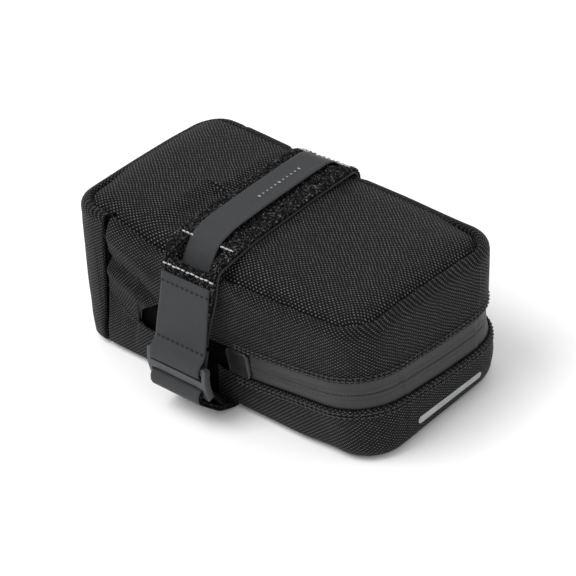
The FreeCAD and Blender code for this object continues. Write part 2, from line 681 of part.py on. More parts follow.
def make_ring():
    """The two-slot slide buckle: a curved plate with three bars, as a PartDesign body."""
    body = doc.addObject("PartDesign::Body", "buckle_ring")
    plane = next(f for f in body.Origin.OriginFeatures if f.Role == "YZ_Plane")

    def sector(name, low, high):
        """A closed piece of the curved plate's section, between two angles."""
        sketch = body.newObject("Sketcher::SketchObject", name)
        sketch.AttachmentSupport = [(plane, "")]
        sketch.MapMode = "FlatFace"
        half = size("ring_thick") / 2
        corners = [(low, half), (high, half), (high, -half), (low, -half)]
        p = [Vector(*ring_point(a, o), 0) for a, o in corners]
        mid = [Vector(*ring_point((low + high) / 2, o), 0) for o in (half, -half)]
        sketch.addGeometry(Part.Arc(p[0], mid[0], p[1]), False)
        sketch.addGeometry(Part.LineSegment(p[1], p[2]), False)
        sketch.addGeometry(Part.Arc(p[2], mid[1], p[3]), False)
        sketch.addGeometry(Part.LineSegment(p[3], p[0]), False)
        return sketch

    outer, inner, middle = (size(k) for k in ("bar_outer_deg", "bar_inner_deg", "bar_middle_deg"))
    pad = body.newObject("PartDesign::Pad", "ring_plate")
    pad.Profile = sector("ring_outline", -outer, outer)
    pad.Midplane = True
    pad.setExpression("Length", "Sizes.ring_width")
    doc.recompute()
    for name, low, high in (("upper", middle, inner), ("lower", -inner, -middle)):
        pocket = body.newObject("PartDesign::Pocket", f"ring_slot_{name}")
        pocket.Profile = sector(f"slot_outline_{name}", low, high)
        pocket.Midplane = True
        pocket.setExpression("Length", "Sizes.ring_slot")
        doc.recompute()
    corners = [
        f"Edge{i}"
        for i, e in enumerate(body.Tip.Shape.Edges, start=1)
        if abs(e.Length - size("ring_thick")) < 0.01
        and abs(abs(e.CenterOfMass.x) - size("ring_width") / 2) < 0.01
    ]
    rounds = body.newObject("PartDesign::Fillet", "ring_corners")
    rounds.Base = (pocket, corners)
    rounds.Radius = 3.2
    doc.recompute()
    body.Placement = Placement(Vector(size("strap_middle"), 0, 0), Rotation())
    node(body, "buckle_ring")


make_panels()
make_walls()
make_inside()
make_zip()
make_strap()
make_ring()
doc.recompute()

broken = [o.Label for o in doc.Objects if any(s in ("Invalid", "Error") for s in o.State)]
if broken:
    raise SystemExit(f"these objects failed: {broken}")
os.makedirs("parts", exist_ok=True)
for old in os.listdir("parts"):
    os.remove(os.path.join("parts", old))
for thing in NODES:
    shape = thing.Shape
    if shape.isNull() or not shape.isValid() or not shape.Solids:
        raise SystemExit(f"{thing.Label} has no valid shape")
    print(f"{thing.Label:26s} solids {len(shape.Solids):3d}  volume {shape.Volume:10.1f}")
    shape.exportStep(f"parts/{thing.Label}.step")
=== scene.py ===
"""Bicycle saddle bag: the visual model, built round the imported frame. Lengths are in millimetres until the
mesh is made. X runs towards the zipped rear end, -Y is the buckle's side and Z is up."""
import math
import random

import bmesh
import bpy
import numpy as np
from mathutils import Matrix, Vector


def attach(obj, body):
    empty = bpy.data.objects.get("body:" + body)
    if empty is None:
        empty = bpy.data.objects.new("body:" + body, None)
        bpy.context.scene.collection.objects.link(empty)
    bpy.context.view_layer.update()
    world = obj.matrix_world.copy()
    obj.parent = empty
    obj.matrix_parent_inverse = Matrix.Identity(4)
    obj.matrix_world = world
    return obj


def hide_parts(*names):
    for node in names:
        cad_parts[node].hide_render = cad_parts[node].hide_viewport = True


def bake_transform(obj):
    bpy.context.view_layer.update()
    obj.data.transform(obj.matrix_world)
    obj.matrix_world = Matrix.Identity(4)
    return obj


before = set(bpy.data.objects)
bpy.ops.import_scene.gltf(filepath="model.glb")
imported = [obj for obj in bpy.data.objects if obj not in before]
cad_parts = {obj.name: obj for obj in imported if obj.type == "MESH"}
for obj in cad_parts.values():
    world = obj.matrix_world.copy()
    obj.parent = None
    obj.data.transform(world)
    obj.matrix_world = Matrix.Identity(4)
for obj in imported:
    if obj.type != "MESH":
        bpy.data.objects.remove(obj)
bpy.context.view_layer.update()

MM = 0.001
SEED = 7

# bag body, close to the CAD's
FRONT_BASE, FRONT_REF = 87.0, 75.5
REAR_BASE, REAR_REF = 79.5, 80.5
HALF_BASE, HALF_REF = 41.0, 44.1
REF_HEIGHT = 90.0
FRONT_CORNER = 14.0
TOP_HEIGHT, TOP_FALL = 71.2, 0.048
SEAM = 5.0  # how far the top and base seams are set in from the wall
WELT_BASE, WELT_LEAN = -73.4, math.tan(math.radians(13.5))
ZIP_HEIGHT, ZIP_RISE = 26.2, math.tan(math.radians(3.3))
ZIP_HALF = 6.7
END_X, END_Z = -30.0, 25.8  # where the opening for the zip starts to close, and the height of its tip
END_REACH, END_RISE, END_DROP = 16.4, 11.8, 5.3

# strap, close to the CAD's
STRAP_X = -9.3
WING_WIDTH, STRAP_WIDTH, BAND_WIDTH = 32.8, 28.0, 15.8
CORNER_Y, CORNER_Z, TURN = 35.5, 60.8, 8.3
LEAN = math.radians(17)
LIFT_Y, LIFT = [-42, -22, 0, 22, 40], [0, 1.6, 2.4, 3.3, 3.5]  # the wing's crown
WING_THICK = 2.2
RING_REACH, RING_HEIGHT, RING_CURVE, RING_THICK = 57.6, 21.8, 22.0, 2.6
RING_WIDTH, RING_SLOT = 33.4, 29.4
BAR_MIDDLE, BAR_INNER, BAR_OUTER = 4.6, 12.2, 19.2
WAIST_HALF = 41.2
BAND_CROWN = 75.0

# cloth
PADDED = 1.3  # the wall cloth with its foam and lining
TOP_SEAM_Z, BASE_SEAM_Z, WALL_Z, ZIP_Z = 64.0, 2.0, 30.0, 27.0  # typical heights, for the outline's size
SIDE_LENGTH, FRONT_SIDE_LENGTH = 133.0, 8.0  # of the straight side runs behind and in front of the welt
LIP_DROP = 1.4  # from the crown of the top panel to the lip round its seam
HEM_THICK, BASE_EDGE_THICK = (0.35, 0.5, 0.8), (0.3, 0.5, 0.8)
TOP_EDGE_THICK = (0.9, 0.6, 0.45, 0.35, 0.3)


# ------------------------------------------------------------------ small helpers

def ease(low, high, value):
    """0 below low, 1 above high and smooth between."""
    t = np.clip((np.asarray(value, float) - low) / (high - low), 0, 1)
    return t * t * (3 - 2 * t)


def bell(value, centre, width):
    """A smooth bump of height 1."""
    return np.exp(-(((np.asarray(value, float) - centre) / width) ** 2))


def waves(x, y, z):
    """Gentle unevenness of stuffed cloth, about 1 either way."""
    a = np.sin(x / 11.3 + 1.3) * np.sin(z / 9.1 + 0.4)
    b = np.sin((x + 0.7 * z) / 7.7 + y / 13.0)
    c = np.sin((y - 0.5 * z) / 8.3 + 2.1)
    return 0.5 * a + 0.3 * b + 0.3 * c


def lengths(line):
    """The distance along a polyline at each of its points."""
    return np.concatenate([[0], np.cumsum(np.linalg.norm(np.diff(line, axis=0), axis=1))])


def packed(count, rim=1.0):
    """Values from -1 to 1, closer together near both ends by the share rim."""
    t = np.linspace(-1, 1, count)
    return np.sin(t * math.pi / 2) * rim + t * (1 - rim)


def spread(parts):
    """Fractions from 0 to 1 in several stretches: (share of the length, number of steps)."""
    values = [0.0]
    for share, steps in parts:
        start = values[-1]
        values += [start + share * (i + 1) / steps for i in range(steps)]
    return np.array(values) / values[-1]


# ------------------------------------------------------------------ the bag's form

def outline_sizes(z):
    """Front, rear, half-width, rear corner radius and the welt's X at a height."""
    share = z / REF_HEIGHT
    front = FRONT_BASE + (FRONT_REF - FRONT_BASE) * share
    rear = REAR_BASE + (REAR_REF - REAR_BASE) * share
    half = HALF_BASE + (HALF_REF - HALF_BASE) * share
    corner = np.interp(z, [0, 12, 28, 42, 62], [17.5, 19.0, 21.5, 19.0, 16.0])
    return front, rear, half, corner, WELT_BASE + WELT_LEAN * z


NEAR, REAR_NEAR, REAR_END, REAR_FAR, FAR = range(5)
FRONT_FAR_SIDE, FRONT_FAR, FRONT_END, FRONT_NEAR, FRONT_NEAR_SIDE = range(5, 10)


def plan_point(run, f, z):
    """The point of the outline at a fraction along one of its runs, and the outward direction."""
    front, rear, half, r, welt = outline_sizes(z)
    rf = FRONT_CORNER
    turn = f * math.pi / 2
    s, c = np.sin(turn), np.cos(turn)
    zero, one = np.zeros_like(f + z), np.ones_like(f + z)
    back_x, front_x = rear - r, np.minimum(-front + rf, welt)
    table = {
        NEAR: (welt + (back_x - welt) * f, -half, zero, -one),
        REAR_NEAR: (back_x + r * s, -half + r - r * c, s, -c),
        REAR_END: (rear, (half - r) * (2 * f - 1), one, zero),
        REAR_FAR: (back_x + r * c, half - r + r * s, c, s),
        FAR: (back_x + (welt - back_x) * f, half, zero, one),
        FRONT_FAR_SIDE: (welt + (front_x - welt) * f, half, zero, one),
        FRONT_FAR: (front_x - rf * s, half - rf + rf * c, -s, c),
        FRONT_END: (-front, (half - rf) * (1 - 2 * f), -one, zero),
        FRONT_NEAR: (front_x - rf * c, -half + rf - rf * s, -c, -s),
        FRONT_NEAR_SIDE: (front_x + (welt - front_x) * f, -half, zero, -one),
    }
    px, py, nx, ny = (np.broadcast_to(v, zero.shape) for v in table[run])
    return px, py, nx, ny


DIP_X = [-76, -56, -45, -31, -9, 12, 35, 60, 78]
DIP_NEAR = [3.4, 4.3, 6.2, 9.4, 10.0, 8.5, 7.6, 5.4, 3.8]
DIP_FAR = [3.0, 2.5, 2.6, 3.0, 4.0, 3.7, 3.6, 3.8, 3.8]


def top_form(x, y):
    """Height of the top panel's crown, without the groove of its seam."""
    front, rear, half, _, _ = outline_sizes(np.full_like(x, 66.0))
    side = np.clip(np.abs(y) / (half - SEAM), 0, 1.05)
    dip = np.where(y < 0, np.interp(x, DIP_X, DIP_NEAR), np.interp(x, DIP_X, DIP_FAR)) - LIP_DROP
    at_rear = np.clip(1 - (rear - SEAM - x) / 24, 0, 1.05) ** 3
    at_front = np.clip(1 - (x + front - SEAM) / 22, 0, 1.05) ** 3
    drops = (dip * side ** 4) ** 3 + (2.9 * at_rear) ** 3 + (2.6 * at_front) ** 3
    return TOP_HEIGHT - TOP_FALL * x - np.cbrt(drops) + 0.3 * waves(x, y, 0)


def top_height(x, y):
    """Height of the top panel's crown at one point."""
    return float(top_form(np.array([x]), np.array([y]))[0])


def askew(p):
    """The stuffed bag is not quite square: it stands up at the front and leans out to the rear."""
    x, y, z = p[..., 0], p[..., 1], p[..., 2]
    q = p.copy()
    q[..., 0] += 2.5 * ease(20, 80, x) * ease(-25, 45, y) * (0.3 + 0.7 * ease(2, 14, z))
    q[..., 0] -= (1.7 + 0.2 * (1 - ease(20, 50, z))) * ease(55, 85, -x)
    q[..., 1] -= 1.0 * ease(15, 42, -y) * (1 - ease(8, 22, z)) * (1 - ease(40, 60, x))
    q[..., 2] += 1.7 * ease(40, 80, -x) * ease(48, 64, z) * (1 - 0.8 * ease(12, 42, y))
    q[..., 2] -= 0.7 * ease(20, 60, x) * ease(10, 40, y) * ease(50, 66, z)
    return q


def strap_grip(p):
    """Draws points in under the strap: inside a rounded section, less and less away from the strap."""
    p = askew(p)
    x, y, z = p[..., 0], p[..., 1], p[..., 2]
    wide = 14.5 + np.where(y > 0, 2.0, 5.5) * ease(48, 60, z)
    away = np.abs(x - STRAP_X) - wide
    hold = 1 - ease(0, np.where(y > 0, 6.0, 11.0), away)
    half = np.where(y < 0, 44.6 - 2.0 * ease(40, 56, z), WAIST_HALF - 0.35)
    low, high = 2.75, 67.7 + np.interp(y, LIFT_Y, LIFT)
    r = np.where((y < 0) & (z < 35), 3.5, np.where(y < 0, 8.5, 5.0))
    qy = np.abs(y) - (half - r)
    qz = np.abs(z - (low + high) / 2) - ((high - low) / 2 - r)
    outside = np.hypot(np.maximum(qy, 0), np.maximum(qz, 0))
    dist = outside + np.minimum(np.maximum(qy, qz), 0) - r
    gy = np.where(outside > 1e-6, np.maximum(qy, 0) / np.maximum(outside, 1e-6), qy > qz)
    gz = np.where(outside > 1e-6, np.maximum(qz, 0) / np.maximum(outside, 1e-6), qy <= qz)
    push = np.maximum(dist, 0) * hold
    q = p.copy()
    q[..., 1] -= push * gy * np.sign(y)
    q[..., 2] -= push * gz * np.sign(z - (low + high) / 2)
    return q


def folds(x, z):
    """The slanting folds of the side wall between the welt and the strap."""
    q = z + 0.44 * (x + 62)
    mask = ease(-70, -60, x) * (1 - ease(-42, -24, x)) * ease(1, 7, z - join_line(x))
    shape = 1.5 * bell(q, 65, 4.5) - 2.1 * bell(q, 51.5, 3.2) + 1.2 * bell(q, 45, 3.8)
    return shape * mask


def swell(run, x, y, z):
    """How far the cloth of a wall stands out from the plain outline."""
    height = np.clip((z - 2) / 62, 0, 1)
    full = np.sin(np.pi * height) ** 0.8
    out = 0.7 * full + 0.35 * waves(x, y, z) * full
    if run in (NEAR, FAR):
        out = out + folds(x, z) * (1.0 if run == NEAR else 0.7)
        out = out + 0.5 * full * bell(x, 34, 24)
    if run in (FRONT_FAR, FRONT_END, FRONT_NEAR):
        out = out + 1.1 * full * (1 - (y / 46) ** 2)
    if run == REAR_END:
        out = out + 0.7 * full * (1 - (y / 46) ** 2)
    return out


def zip_line(x, y):
    """Height of the middle of the zip: a straight rise, with the sewing's drift on the near side and rear."""
    near = np.interp(x, [0, 17, 45, 66], [-1.2, -1.2, 0.4, 2.0]) * np.clip(-np.asarray(y, float) / 36, 0, 1)
    rear = -1.5 * ease(58, 78, x) * np.clip((np.asarray(y, float) + 30) / 60, 0, 1)
    return ZIP_HEIGHT + ZIP_RISE * x + near + rear


JOIN_X = [-76, -66, -63.1, -58.2, -53.7, -48, -43, -38]
JOIN_Z = [44, 36.5, 32.5, 26.6, 23.4, 20.7, 19.4, 18.8]


def join_line(x):
    """Height of the seam between the upper and lower side walls in front of the zip's end."""
    return np.interp(x, JOIN_X, JOIN_Z)


def hem_line(x, y, arc, half, overlap, change):
    """An edge of a side wall: beside the zip, then an arc round its end, then the join in front of it."""
    blend = ease(END_X, END_X + 14, x)
    opening = arc * (1 - blend) + (zip_line(x, y) + half) * blend
    left = 1 - ease(END_X - END_REACH - 0.5, END_X - END_REACH + change, x)
    return opening * (1 - left) + (join_line(x) + overlap) * left


def upper_edge(x, y):
    """Lower edge of the upper side wall at one point of the outline."""
    t = np.clip((END_X - x) / END_REACH, 0, 1)
    return float(hem_line(x, y, END_Z + END_RISE * (1 - t * t) ** 0.8, ZIP_HALF, 0.0, 0.9))


def lower_edge(x, y):
    """Upper edge of the lower side wall at one point of the outline."""
    t = np.clip((END_X - 9.5 - x) / (END_REACH - 9.5), 0, 1)
    return float(hem_line(x, y, END_Z - END_DROP * np.sqrt(1 - t * t), -ZIP_HALF, 2.0, 2.5))


def wall_grid(runs, rows):
    """A grid of points over some runs of the outline. rows maps (run, x, y) at each column to the lists of
    insets and heights of that column, from the lower edge to the upper."""
    columns = [(run, float(f)) for run, fractions in runs for f in fractions]
    grid = None
    for j, (run, f) in enumerate(columns):
        x0, y0, _, _ = plan_point(run, np.array([f]), np.array([WALL_Z]))
        insets, heights = rows(run, f, float(x0[0]), float(y0[0]))
        if grid is None:
            grid = np.zeros((len(heights), len(columns), 3))
        heights = np.array(heights, float)
        fs = np.full_like(heights, f)
        x, y, nx, ny = plan_point(run, fs, heights)
        out = swell(run, x, y, heights) * ease(0, 5, heights) - np.array(insets, float)
        grid[:, j, 0] = x + nx * out
        grid[:, j, 1] = y + ny * out
        grid[:, j, 2] = heights
    return strap_grip(grid)


# ------------------------------------------------------------------ meshes

def grid_uv(grid):
    """Lengths along the middle row and the middle column, for the weave."""
    middle_row = grid[grid.shape[0] // 2]
    middle_column = grid[:, grid.shape[1] // 2]
    return np.stack(np.meshgrid(lengths(middle_row), lengths(middle_column)), axis=-1)


def wall_uv(grid, column):
    """For the weave of a wall: length along each row from one column, and height plus the length along the
    column above or below the middle row."""
    along = np.cumsum(np.linalg.norm(np.diff(grid, axis=1, prepend=grid[:, :1]), axis=2), axis=1)
    up = np.cumsum(np.linalg.norm(np.diff(grid, axis=0, prepend=grid[:1]), axis=2), axis=0)
    middle = grid.shape[0] // 2
    along -= along[:, column:column + 1]
    up += grid[middle:middle + 1, :, 2] - up[middle:middle + 1]
    return np.stack([along, up], axis=-1)


def grid_normals(grid):
    """Unit normals of a grid, outward when columns run anticlockwise and rows run up."""
    du = np.gradient(grid, axis=1)
    dv = np.gradient(grid, axis=0)
    n = np.cross(du, dv)
    length = np.linalg.norm(n, axis=2, keepdims=True)
    return n / np.maximum(length, 1e-9)


def new_mesh(name, verts, faces, materials, uv=None, slots=None, smooth=True):
    """A mesh object in metres from millimetre points. uv is one pair for each vertex, and slots one material
    number for each face."""
    mesh = bpy.data.meshes.new(name)
    mesh.from_pydata([tuple(v * MM) for v in np.asarray(verts, float)], [], faces)
    if uv is not None:
        layer = mesh.uv_layers.new(name="weave")
        index = np.zeros(len(mesh.loops), dtype=np.int32)
        mesh.loops.foreach_get("vertex_index", index)
        layer.data.foreach_set("uv", np.asarray(uv, np.float32)[index].ravel())
    if slots is not None:
        mesh.polygons.foreach_set("material_index", np.asarray(slots, np.int32))
    if smooth:
        mesh.polygons.foreach_set("use_smooth", [True] * len(mesh.polygons))
    mesh.validate()
    mesh.update()
    thing = bpy.data.objects.new(name, mesh)
    bpy.context.scene.collection.objects.link(thing)
    for material in materials:
        mesh.materials.append(material)
    return thing


def face_out(thing):
    """Turns every face of a closed mesh outwards."""
    bm = bmesh.new()
    bm.from_mesh(thing.data)
    bmesh.ops.recalc_face_normals(bm, faces=bm.faces)
    bm.to_mesh(thing.data)
    bm.free()


def tube_faces(start, rings, sides, flip=False):
    """Faces of a closed tube: rings of points that follow one another from a start number."""
    faces = []
    for k in range(rings - 1):
        for m in range(sides):
            a, b = start + k * sides + m, start + k * sides + (m + 1) % sides
            faces.append((a, a + sides, b + sides, b) if flip else (a, b, b + sides, a + sides))
    first = tuple(range(start, start + sides))
    last = tuple(i + (rings - 1) * sides for i in first)
    return faces + [first if flip else first[::-1], last[::-1] if flip else last]


def slab_faces(kept):
    """Faces and material numbers of a slab of cells: top 0, bottom 1, and the edges left open 2."""
    rows, cols = kept.shape[0] + 1, kept.shape[1] + 1
    count = rows * cols
    faces, slots, edges = [], [], {}
    for i, j in np.argwhere(kept).tolist():
        q = (i * cols + j, i * cols + j + 1, (i + 1) * cols + j + 1, (i + 1) * cols + j)
        faces += [q, tuple(v + count for v in q[::-1])]
        slots += [0, 1]
        for e in zip(q, q[1:] + q[:1]):
            if edges.pop(e[::-1], None) is None:
                edges[e] = True
    faces += [(q, p, p + count, q + count) for p, q in edges]
    slots += [2] * len(edges)
    return faces, slots


def thick_sheet(name, grid, thick, outer, inner, uv=None, flip=False, shaded=None):
    """A closed sheet of cloth: the grid is its outer face. thick is one number or one for each row. shaded
    says which columns have an outer face painted plain black as shade."""
    rows, cols = grid.shape[:2]
    normal = grid_normals(grid) * (-1 if flip else 1)
    thick = np.broadcast_to(np.asarray(thick, float).reshape(-1, 1, 1), (rows, cols, 1))
    back = grid - normal * thick
    back[..., 2] = np.maximum(back[..., 2], 0.1)
    uv = grid_uv(grid) if uv is None else uv
    verts = np.concatenate([grid.reshape(-1, 3), back.reshape(-1, 3)])
    uvs = np.tile(uv.reshape(-1, 2), (2, 1))
    faces, slots = slab_faces(np.ones((rows - 1, cols - 1), bool))
    if flip:
        faces = [face[::-1] for face in faces]
    slots = np.array(slots) % 2
    # the marked columns take the black third material, as painted shade
    if shaded is not None:
        slots[:2 * (rows - 1) * (cols - 1):2] = np.tile(2 * shaded[:-1], rows - 1)
    return new_mesh(name, verts, faces, (outer, inner, BLACK_AND_PAINTED_SHADE), uvs, slots)


def label(nodes):
    """Hides the CAD nodes that a piece stands for."""
    if nodes:
        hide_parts(*nodes)


def place(thing, body, slot, *nodes):
    """Rides a piece on a body."""
    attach(thing, body)
    label(nodes)


def bend(thing, slot, *nodes):
    """For a piece of cloth between the bag and the lid: bakes its transform into its mesh and hides its CAD
    nodes.
    """
    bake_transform(thing)
    label(nodes)


# ------------------------------------------------------------------ materials

class Nodes:
    """Short ways to add shader nodes to one material."""

    def __init__(self, name):
        self.material = bpy.data.materials.new(name)
        self.material.use_nodes = True
        self.tree = self.material.node_tree
        self.shader = self.tree.nodes["Principled BSDF"]

    def add(self, kind, **values):
        """Adds a node and sets its properties."""
        made = self.tree.nodes.new(kind)
        for key, value in values.items():
            setattr(made, key, value)
        return made

    def link(self, output, socket):
        """Joins an output to an input."""
        self.tree.links.new(output, socket)

    def put(self, value, socket):
        """Sets a socket from a number, an RGB colour or another node's output."""
        if isinstance(value, (int, float)):
            socket.default_value = value
        elif isinstance(value, tuple):
            socket.default_value = (*value, 1)
        else:
            self.link(value, socket)

    def math(self, operation, a, b=None):
        """A math node of one or two inputs."""
        made = self.add("ShaderNodeMath", operation=operation)
        self.put(a, made.inputs[0])
        if b is not None:
            self.put(b, made.inputs[1])
        return made.outputs[0]

    def mix(self, factor, a, b):
        """A colour between two colours."""
        made = self.add("ShaderNodeMix", data_type="RGBA")
        for key, value in (("Factor", factor), ("A", a), ("B", b)):
            self.put(value, made.inputs[key])
        return made.outputs["Result"]

    def noise(self, vector, scale, detail=2.0, rough=0.5):
        """A cloudy noise between 0 and 1."""
        made = self.add("ShaderNodeTexNoise")
        made.inputs["Scale"].default_value = scale
        made.inputs["Detail"].default_value = detail
        made.inputs["Roughness"].default_value = rough
        self.link(vector, made.inputs["Vector"])
        return made.outputs["Fac"]

    def object_point(self):
        """The point on the piece, in metres."""
        return self.add("ShaderNodeTexCoord").outputs["Object"]

    def weave_axes(self):
        """The distances along and across the cloth, in millimetres."""
        split = self.add("ShaderNodeSeparateXYZ")
        self.link(self.add("ShaderNodeUVMap", uv_map="weave").outputs["UV"], split.inputs[0])
        return split.outputs[0], split.outputs[1]

    def bump(self, height, strength, distance):
        """Feeds a height to the shader as relief."""
        made = self.add("ShaderNodeBump")
        made.inputs["Strength"].default_value = strength
        made.inputs["Distance"].default_value = distance
        self.link(height, made.inputs["Height"])
        self.link(made.outputs["Normal"], self.shader.inputs["Normal"])

    def remap(self, value, low, high, to_low, to_high):
        """Maps one range on to another and stays inside it."""
        made = self.add("ShaderNodeMapRange")
        self.link(value, made.inputs["Value"])
        for key, number in (("From Min", low), ("From Max", high), ("To Min", to_low), ("To Max", to_high)):
            made.inputs[key].default_value = number
        return made.outputs["Result"]

    def vary(self, noise, low, high):
        """Stretches the middle of a noise over a range."""
        return self.remap(noise, 0.3, 0.7, low, high)

    def finish(self, colour, roughness, specular=0.5, sheen=0.0):
        """Sets the shader's values and gives the finished material."""
        for key, value in (
            ("Base Color", colour),
            ("Roughness", roughness),
            ("Specular IOR Level", specular),
            ("Sheen Weight", sheen),
            ("Sheen Roughness", 0.45),
        ):
            self.put(value, self.shader.inputs[key])
        return self.material


def tint(colour, share):
    """A colour made darker or lighter."""
    return tuple(min(c * share, 1) for c in colour)


def weave(name, pitch, dark, light, contrast, depth, roughness=0.62, sheen=0.05, specular=0.45):
    """Plain weave: a dome for each yarn crossing, alternately warp and weft, over a dark ground painted as
    shade between the yarns.
    """
    n = Nodes(name)
    point = n.object_point()
    drift = n.vary(n.noise(point, 160, 2), -0.22, 0.22)
    cells = []
    for axis, size in zip(n.weave_axes(), pitch):
        scaled = n.math("ADD", n.math("MULTIPLY", axis, 1 / size), drift)
        cell = n.math("FLOOR", scaled)
        across = n.math("SUBTRACT", n.math("SUBTRACT", scaled, cell), 0.5)
        cells.append((cell, n.math("COSINE", n.math("MULTIPLY", across, math.pi))))
    (cell_a, dome_a), (cell_b, dome_b) = cells
    checker = n.math("FLOORED_MODULO", n.math("ADD", cell_a, cell_b), 2.0)
    warp = n.math("MULTIPLY", n.math("POWER", dome_a, 1.2), n.math("POWER", dome_b, 0.45))
    weft = n.math("MULTIPLY", n.math("POWER", dome_a, 0.45), n.math("POWER", dome_b, 1.2))
    height = n.math("ADD", n.math("MULTIPLY", warp, checker),
                    n.math("MULTIPLY", weft, n.math("SUBTRACT", 1.0, checker)))
    level = n.math("MULTIPLY", height, n.remap(checker, 0, 1, 1.0, contrast))
    fibres = n.noise(point, 5200, 3, 0.7)
    uneven = n.noise(point, 420, 2)
    shade = n.math("MULTIPLY", level, n.vary(uneven, 0.75, 1.2))
    shade = n.math("MULTIPLY", shade, n.vary(fibres, 0.8, 1.15))
    # the colour follows the domes' height: painted shade in the gaps between yarns, painted highlight on
    # their crowns
    colour = n.mix(n.math("POWER", n.remap(shade, 0.15, 1.0, 0.0, 1.0), 1.9), dark, light)
    n.bump(n.math("ADD", level, n.math("MULTIPLY", fibres, 0.18)), 1.0, depth)
    return n.finish(colour, n.vary(uneven, roughness - 0.07, roughness + 0.1), specular, sheen)


def fine_cloth(name, pitch, colour, depth, roughness):
    """Smooth tape with a very fine rib."""
    n = Nodes(name)
    ribs = [n.math("SINE", n.math("MULTIPLY", axis, 2 * math.pi / pitch)) for axis in n.weave_axes()]
    grid = n.math("MULTIPLY", *ribs)
    point = n.object_point()
    grain = n.noise(point, 1900, 3, 0.6)
    soft = n.noise(point, 90, 3)
    tone = n.math("MULTIPLY", n.vary(soft, 0.88, 1.12), n.vary(grain, 0.78, 1.22))
    tone = n.math("MULTIPLY", tone, n.remap(grid, -1, 1, 0.9, 1.08))
    shaded = n.mix(n.remap(tone, 0.6, 1.4, 0, 1), tint(colour, 0.6), tint(colour, 1.4))
    n.bump(n.math("ADD", grid, n.math("MULTIPLY", grain, 0.6)), 0.9, depth)
    return n.finish(shaded, n.vary(soft, roughness - 0.06, roughness + 0.08), 0.25)


def plastic(name, colour, roughness, specular=0.5, grain=2600, depth=0.00003):
    """Moulded plastic, rubber or painted metal: fine grain, faint clouding and slight wear."""
    n = Nodes(name)
    point = n.object_point()
    fine = n.noise(point, grain, 3, 0.6)
    cloud = n.noise(point, 120, 4)
    shaded = n.mix(n.vary(cloud, 0, 1), tint(colour, 0.82), tint(colour, 1.18))
    n.bump(fine, 0.8, depth)
    return n.finish(shaded, n.vary(cloud, roughness - 0.06, roughness + 0.1), specular)


def pile(name, dark, light):
    """Loop pile: a mass of fine curls with pale specks where a loop catches the light."""
    n = Nodes(name)
    point = n.object_point()
    cells = n.add("ShaderNodeTexVoronoi", feature="F1")
    cells.inputs["Scale"].default_value = 1500
    n.link(point, cells.inputs["Vector"])
    curls = n.noise(point, 1000, 3, 0.6)
    patches = n.noise(point, 300, 3)
    spark = n.remap(curls, 0.5, 0.6, 0.0, 1.0)
    spark = n.math("MULTIPLY", spark, n.remap(patches, 0.35, 0.65, 0.35, 1.0))
    colour = n.mix(spark, dark, light)
    height = n.math("ADD", cells.outputs["Distance"], n.math("MULTIPLY", curls, 1.4))
    n.bump(height, 1.0, 0.0007)
    return n.finish(colour, 0.85, 0.1)


def thread(name, colour):
    """Twisted sewing thread."""
    n = Nodes(name)
    point = n.object_point()
    twist = n.add("ShaderNodeTexWave", wave_type="BANDS", bands_direction="DIAGONAL")
    twist.inputs["Scale"].default_value = 700
    twist.inputs["Distortion"].default_value = 1.5
    n.link(point, twist.inputs["Vector"])
    tone = n.noise(point, 900, 2)
    shaded = n.mix(n.math("MULTIPLY", twist.outputs["Fac"], tone), tint(colour, 0.6), tint(colour, 1.25))
    n.bump(twist.outputs["Fac"], 0.8, 0.0001)
    return n.finish(shaded, 0.6, 0.3, 0.1)


def zip_cloth(name):
    """Coated zip tape: a smooth satin face with the coil's ribs showing faintly through, near its edge."""
    n = Nodes(name)
    along, across = n.weave_axes()
    rib = n.math("SINE", n.math("MULTIPLY", along, 2 * math.pi / 1.15))
    near_coil = n.math("MULTIPLY", n.remap(across, 0.2, 0.5, 0, 1), n.remap(across, 2.0, 2.6, 1, 0))
    near_coil.node.use_clamp = True
    point = n.object_point()
    grain = n.noise(point, 2600, 3, 0.6)
    soft = n.noise(point, 80, 3)
    height = n.math("ADD", n.math("MULTIPLY", n.math("MULTIPLY", rib, near_coil), 0.8),
                    n.math("MULTIPLY", grain, 0.35))
    tone = n.math("ADD", n.vary(soft, 0.35, 0.65), n.math("MULTIPLY", grain, 0.25))
    colour = n.mix(tone, (0.014, 0.014, 0.015), (0.034, 0.034, 0.036))
    n.bump(height, 1.0, 0.00012)
    return n.finish(colour, n.vary(soft, 0.42, 0.55), 0.3)


def body_weave(name, light):
    """The coarse cloth of the body: yarn crossings painted pale as highlights over a nearly black ground
    painted as shade.
    """
    ground = (0.0006, 0.0006, 0.0007)
    return weave(name, (1.02, 0.78), ground, light, 0.2, 0.0008, roughness=0.55, sheen=0.0, specular=0.12)


# The walls take a darker copy of the top's weave: painted shade, for the sides lit less than the top
TOP_WEAVE = body_weave("coarse_weave_top", (0.185, 0.186, 0.192))
WALL_WEAVE_PAINTED_SHADE = body_weave("coarse_weave_wall_painted_shade", (0.155, 0.156, 0.161))
LINING = weave("lining_weave", (0.5, 0.5), (0.05, 0.053, 0.057), (0.17, 0.175, 0.185), 0.9, 0.00012, 0.6)
TAPE_GREY = (0.026, 0.027, 0.029)
BAND = fine_cloth("band_cloth", 0.45, TAPE_GREY, 0.00005, 0.5)
WEBBING = fine_cloth("webbing_cloth", 0.8, TAPE_GREY, 0.00015, 0.6)
TAPE = zip_cloth("coated_zip_tape")
COIL = plastic("nylon_coil", (0.02, 0.02, 0.021), 0.35)
RUBBER = plastic("satin_rubber", (0.015, 0.015, 0.016), 0.32, 0.5, 1800, 0.00002)
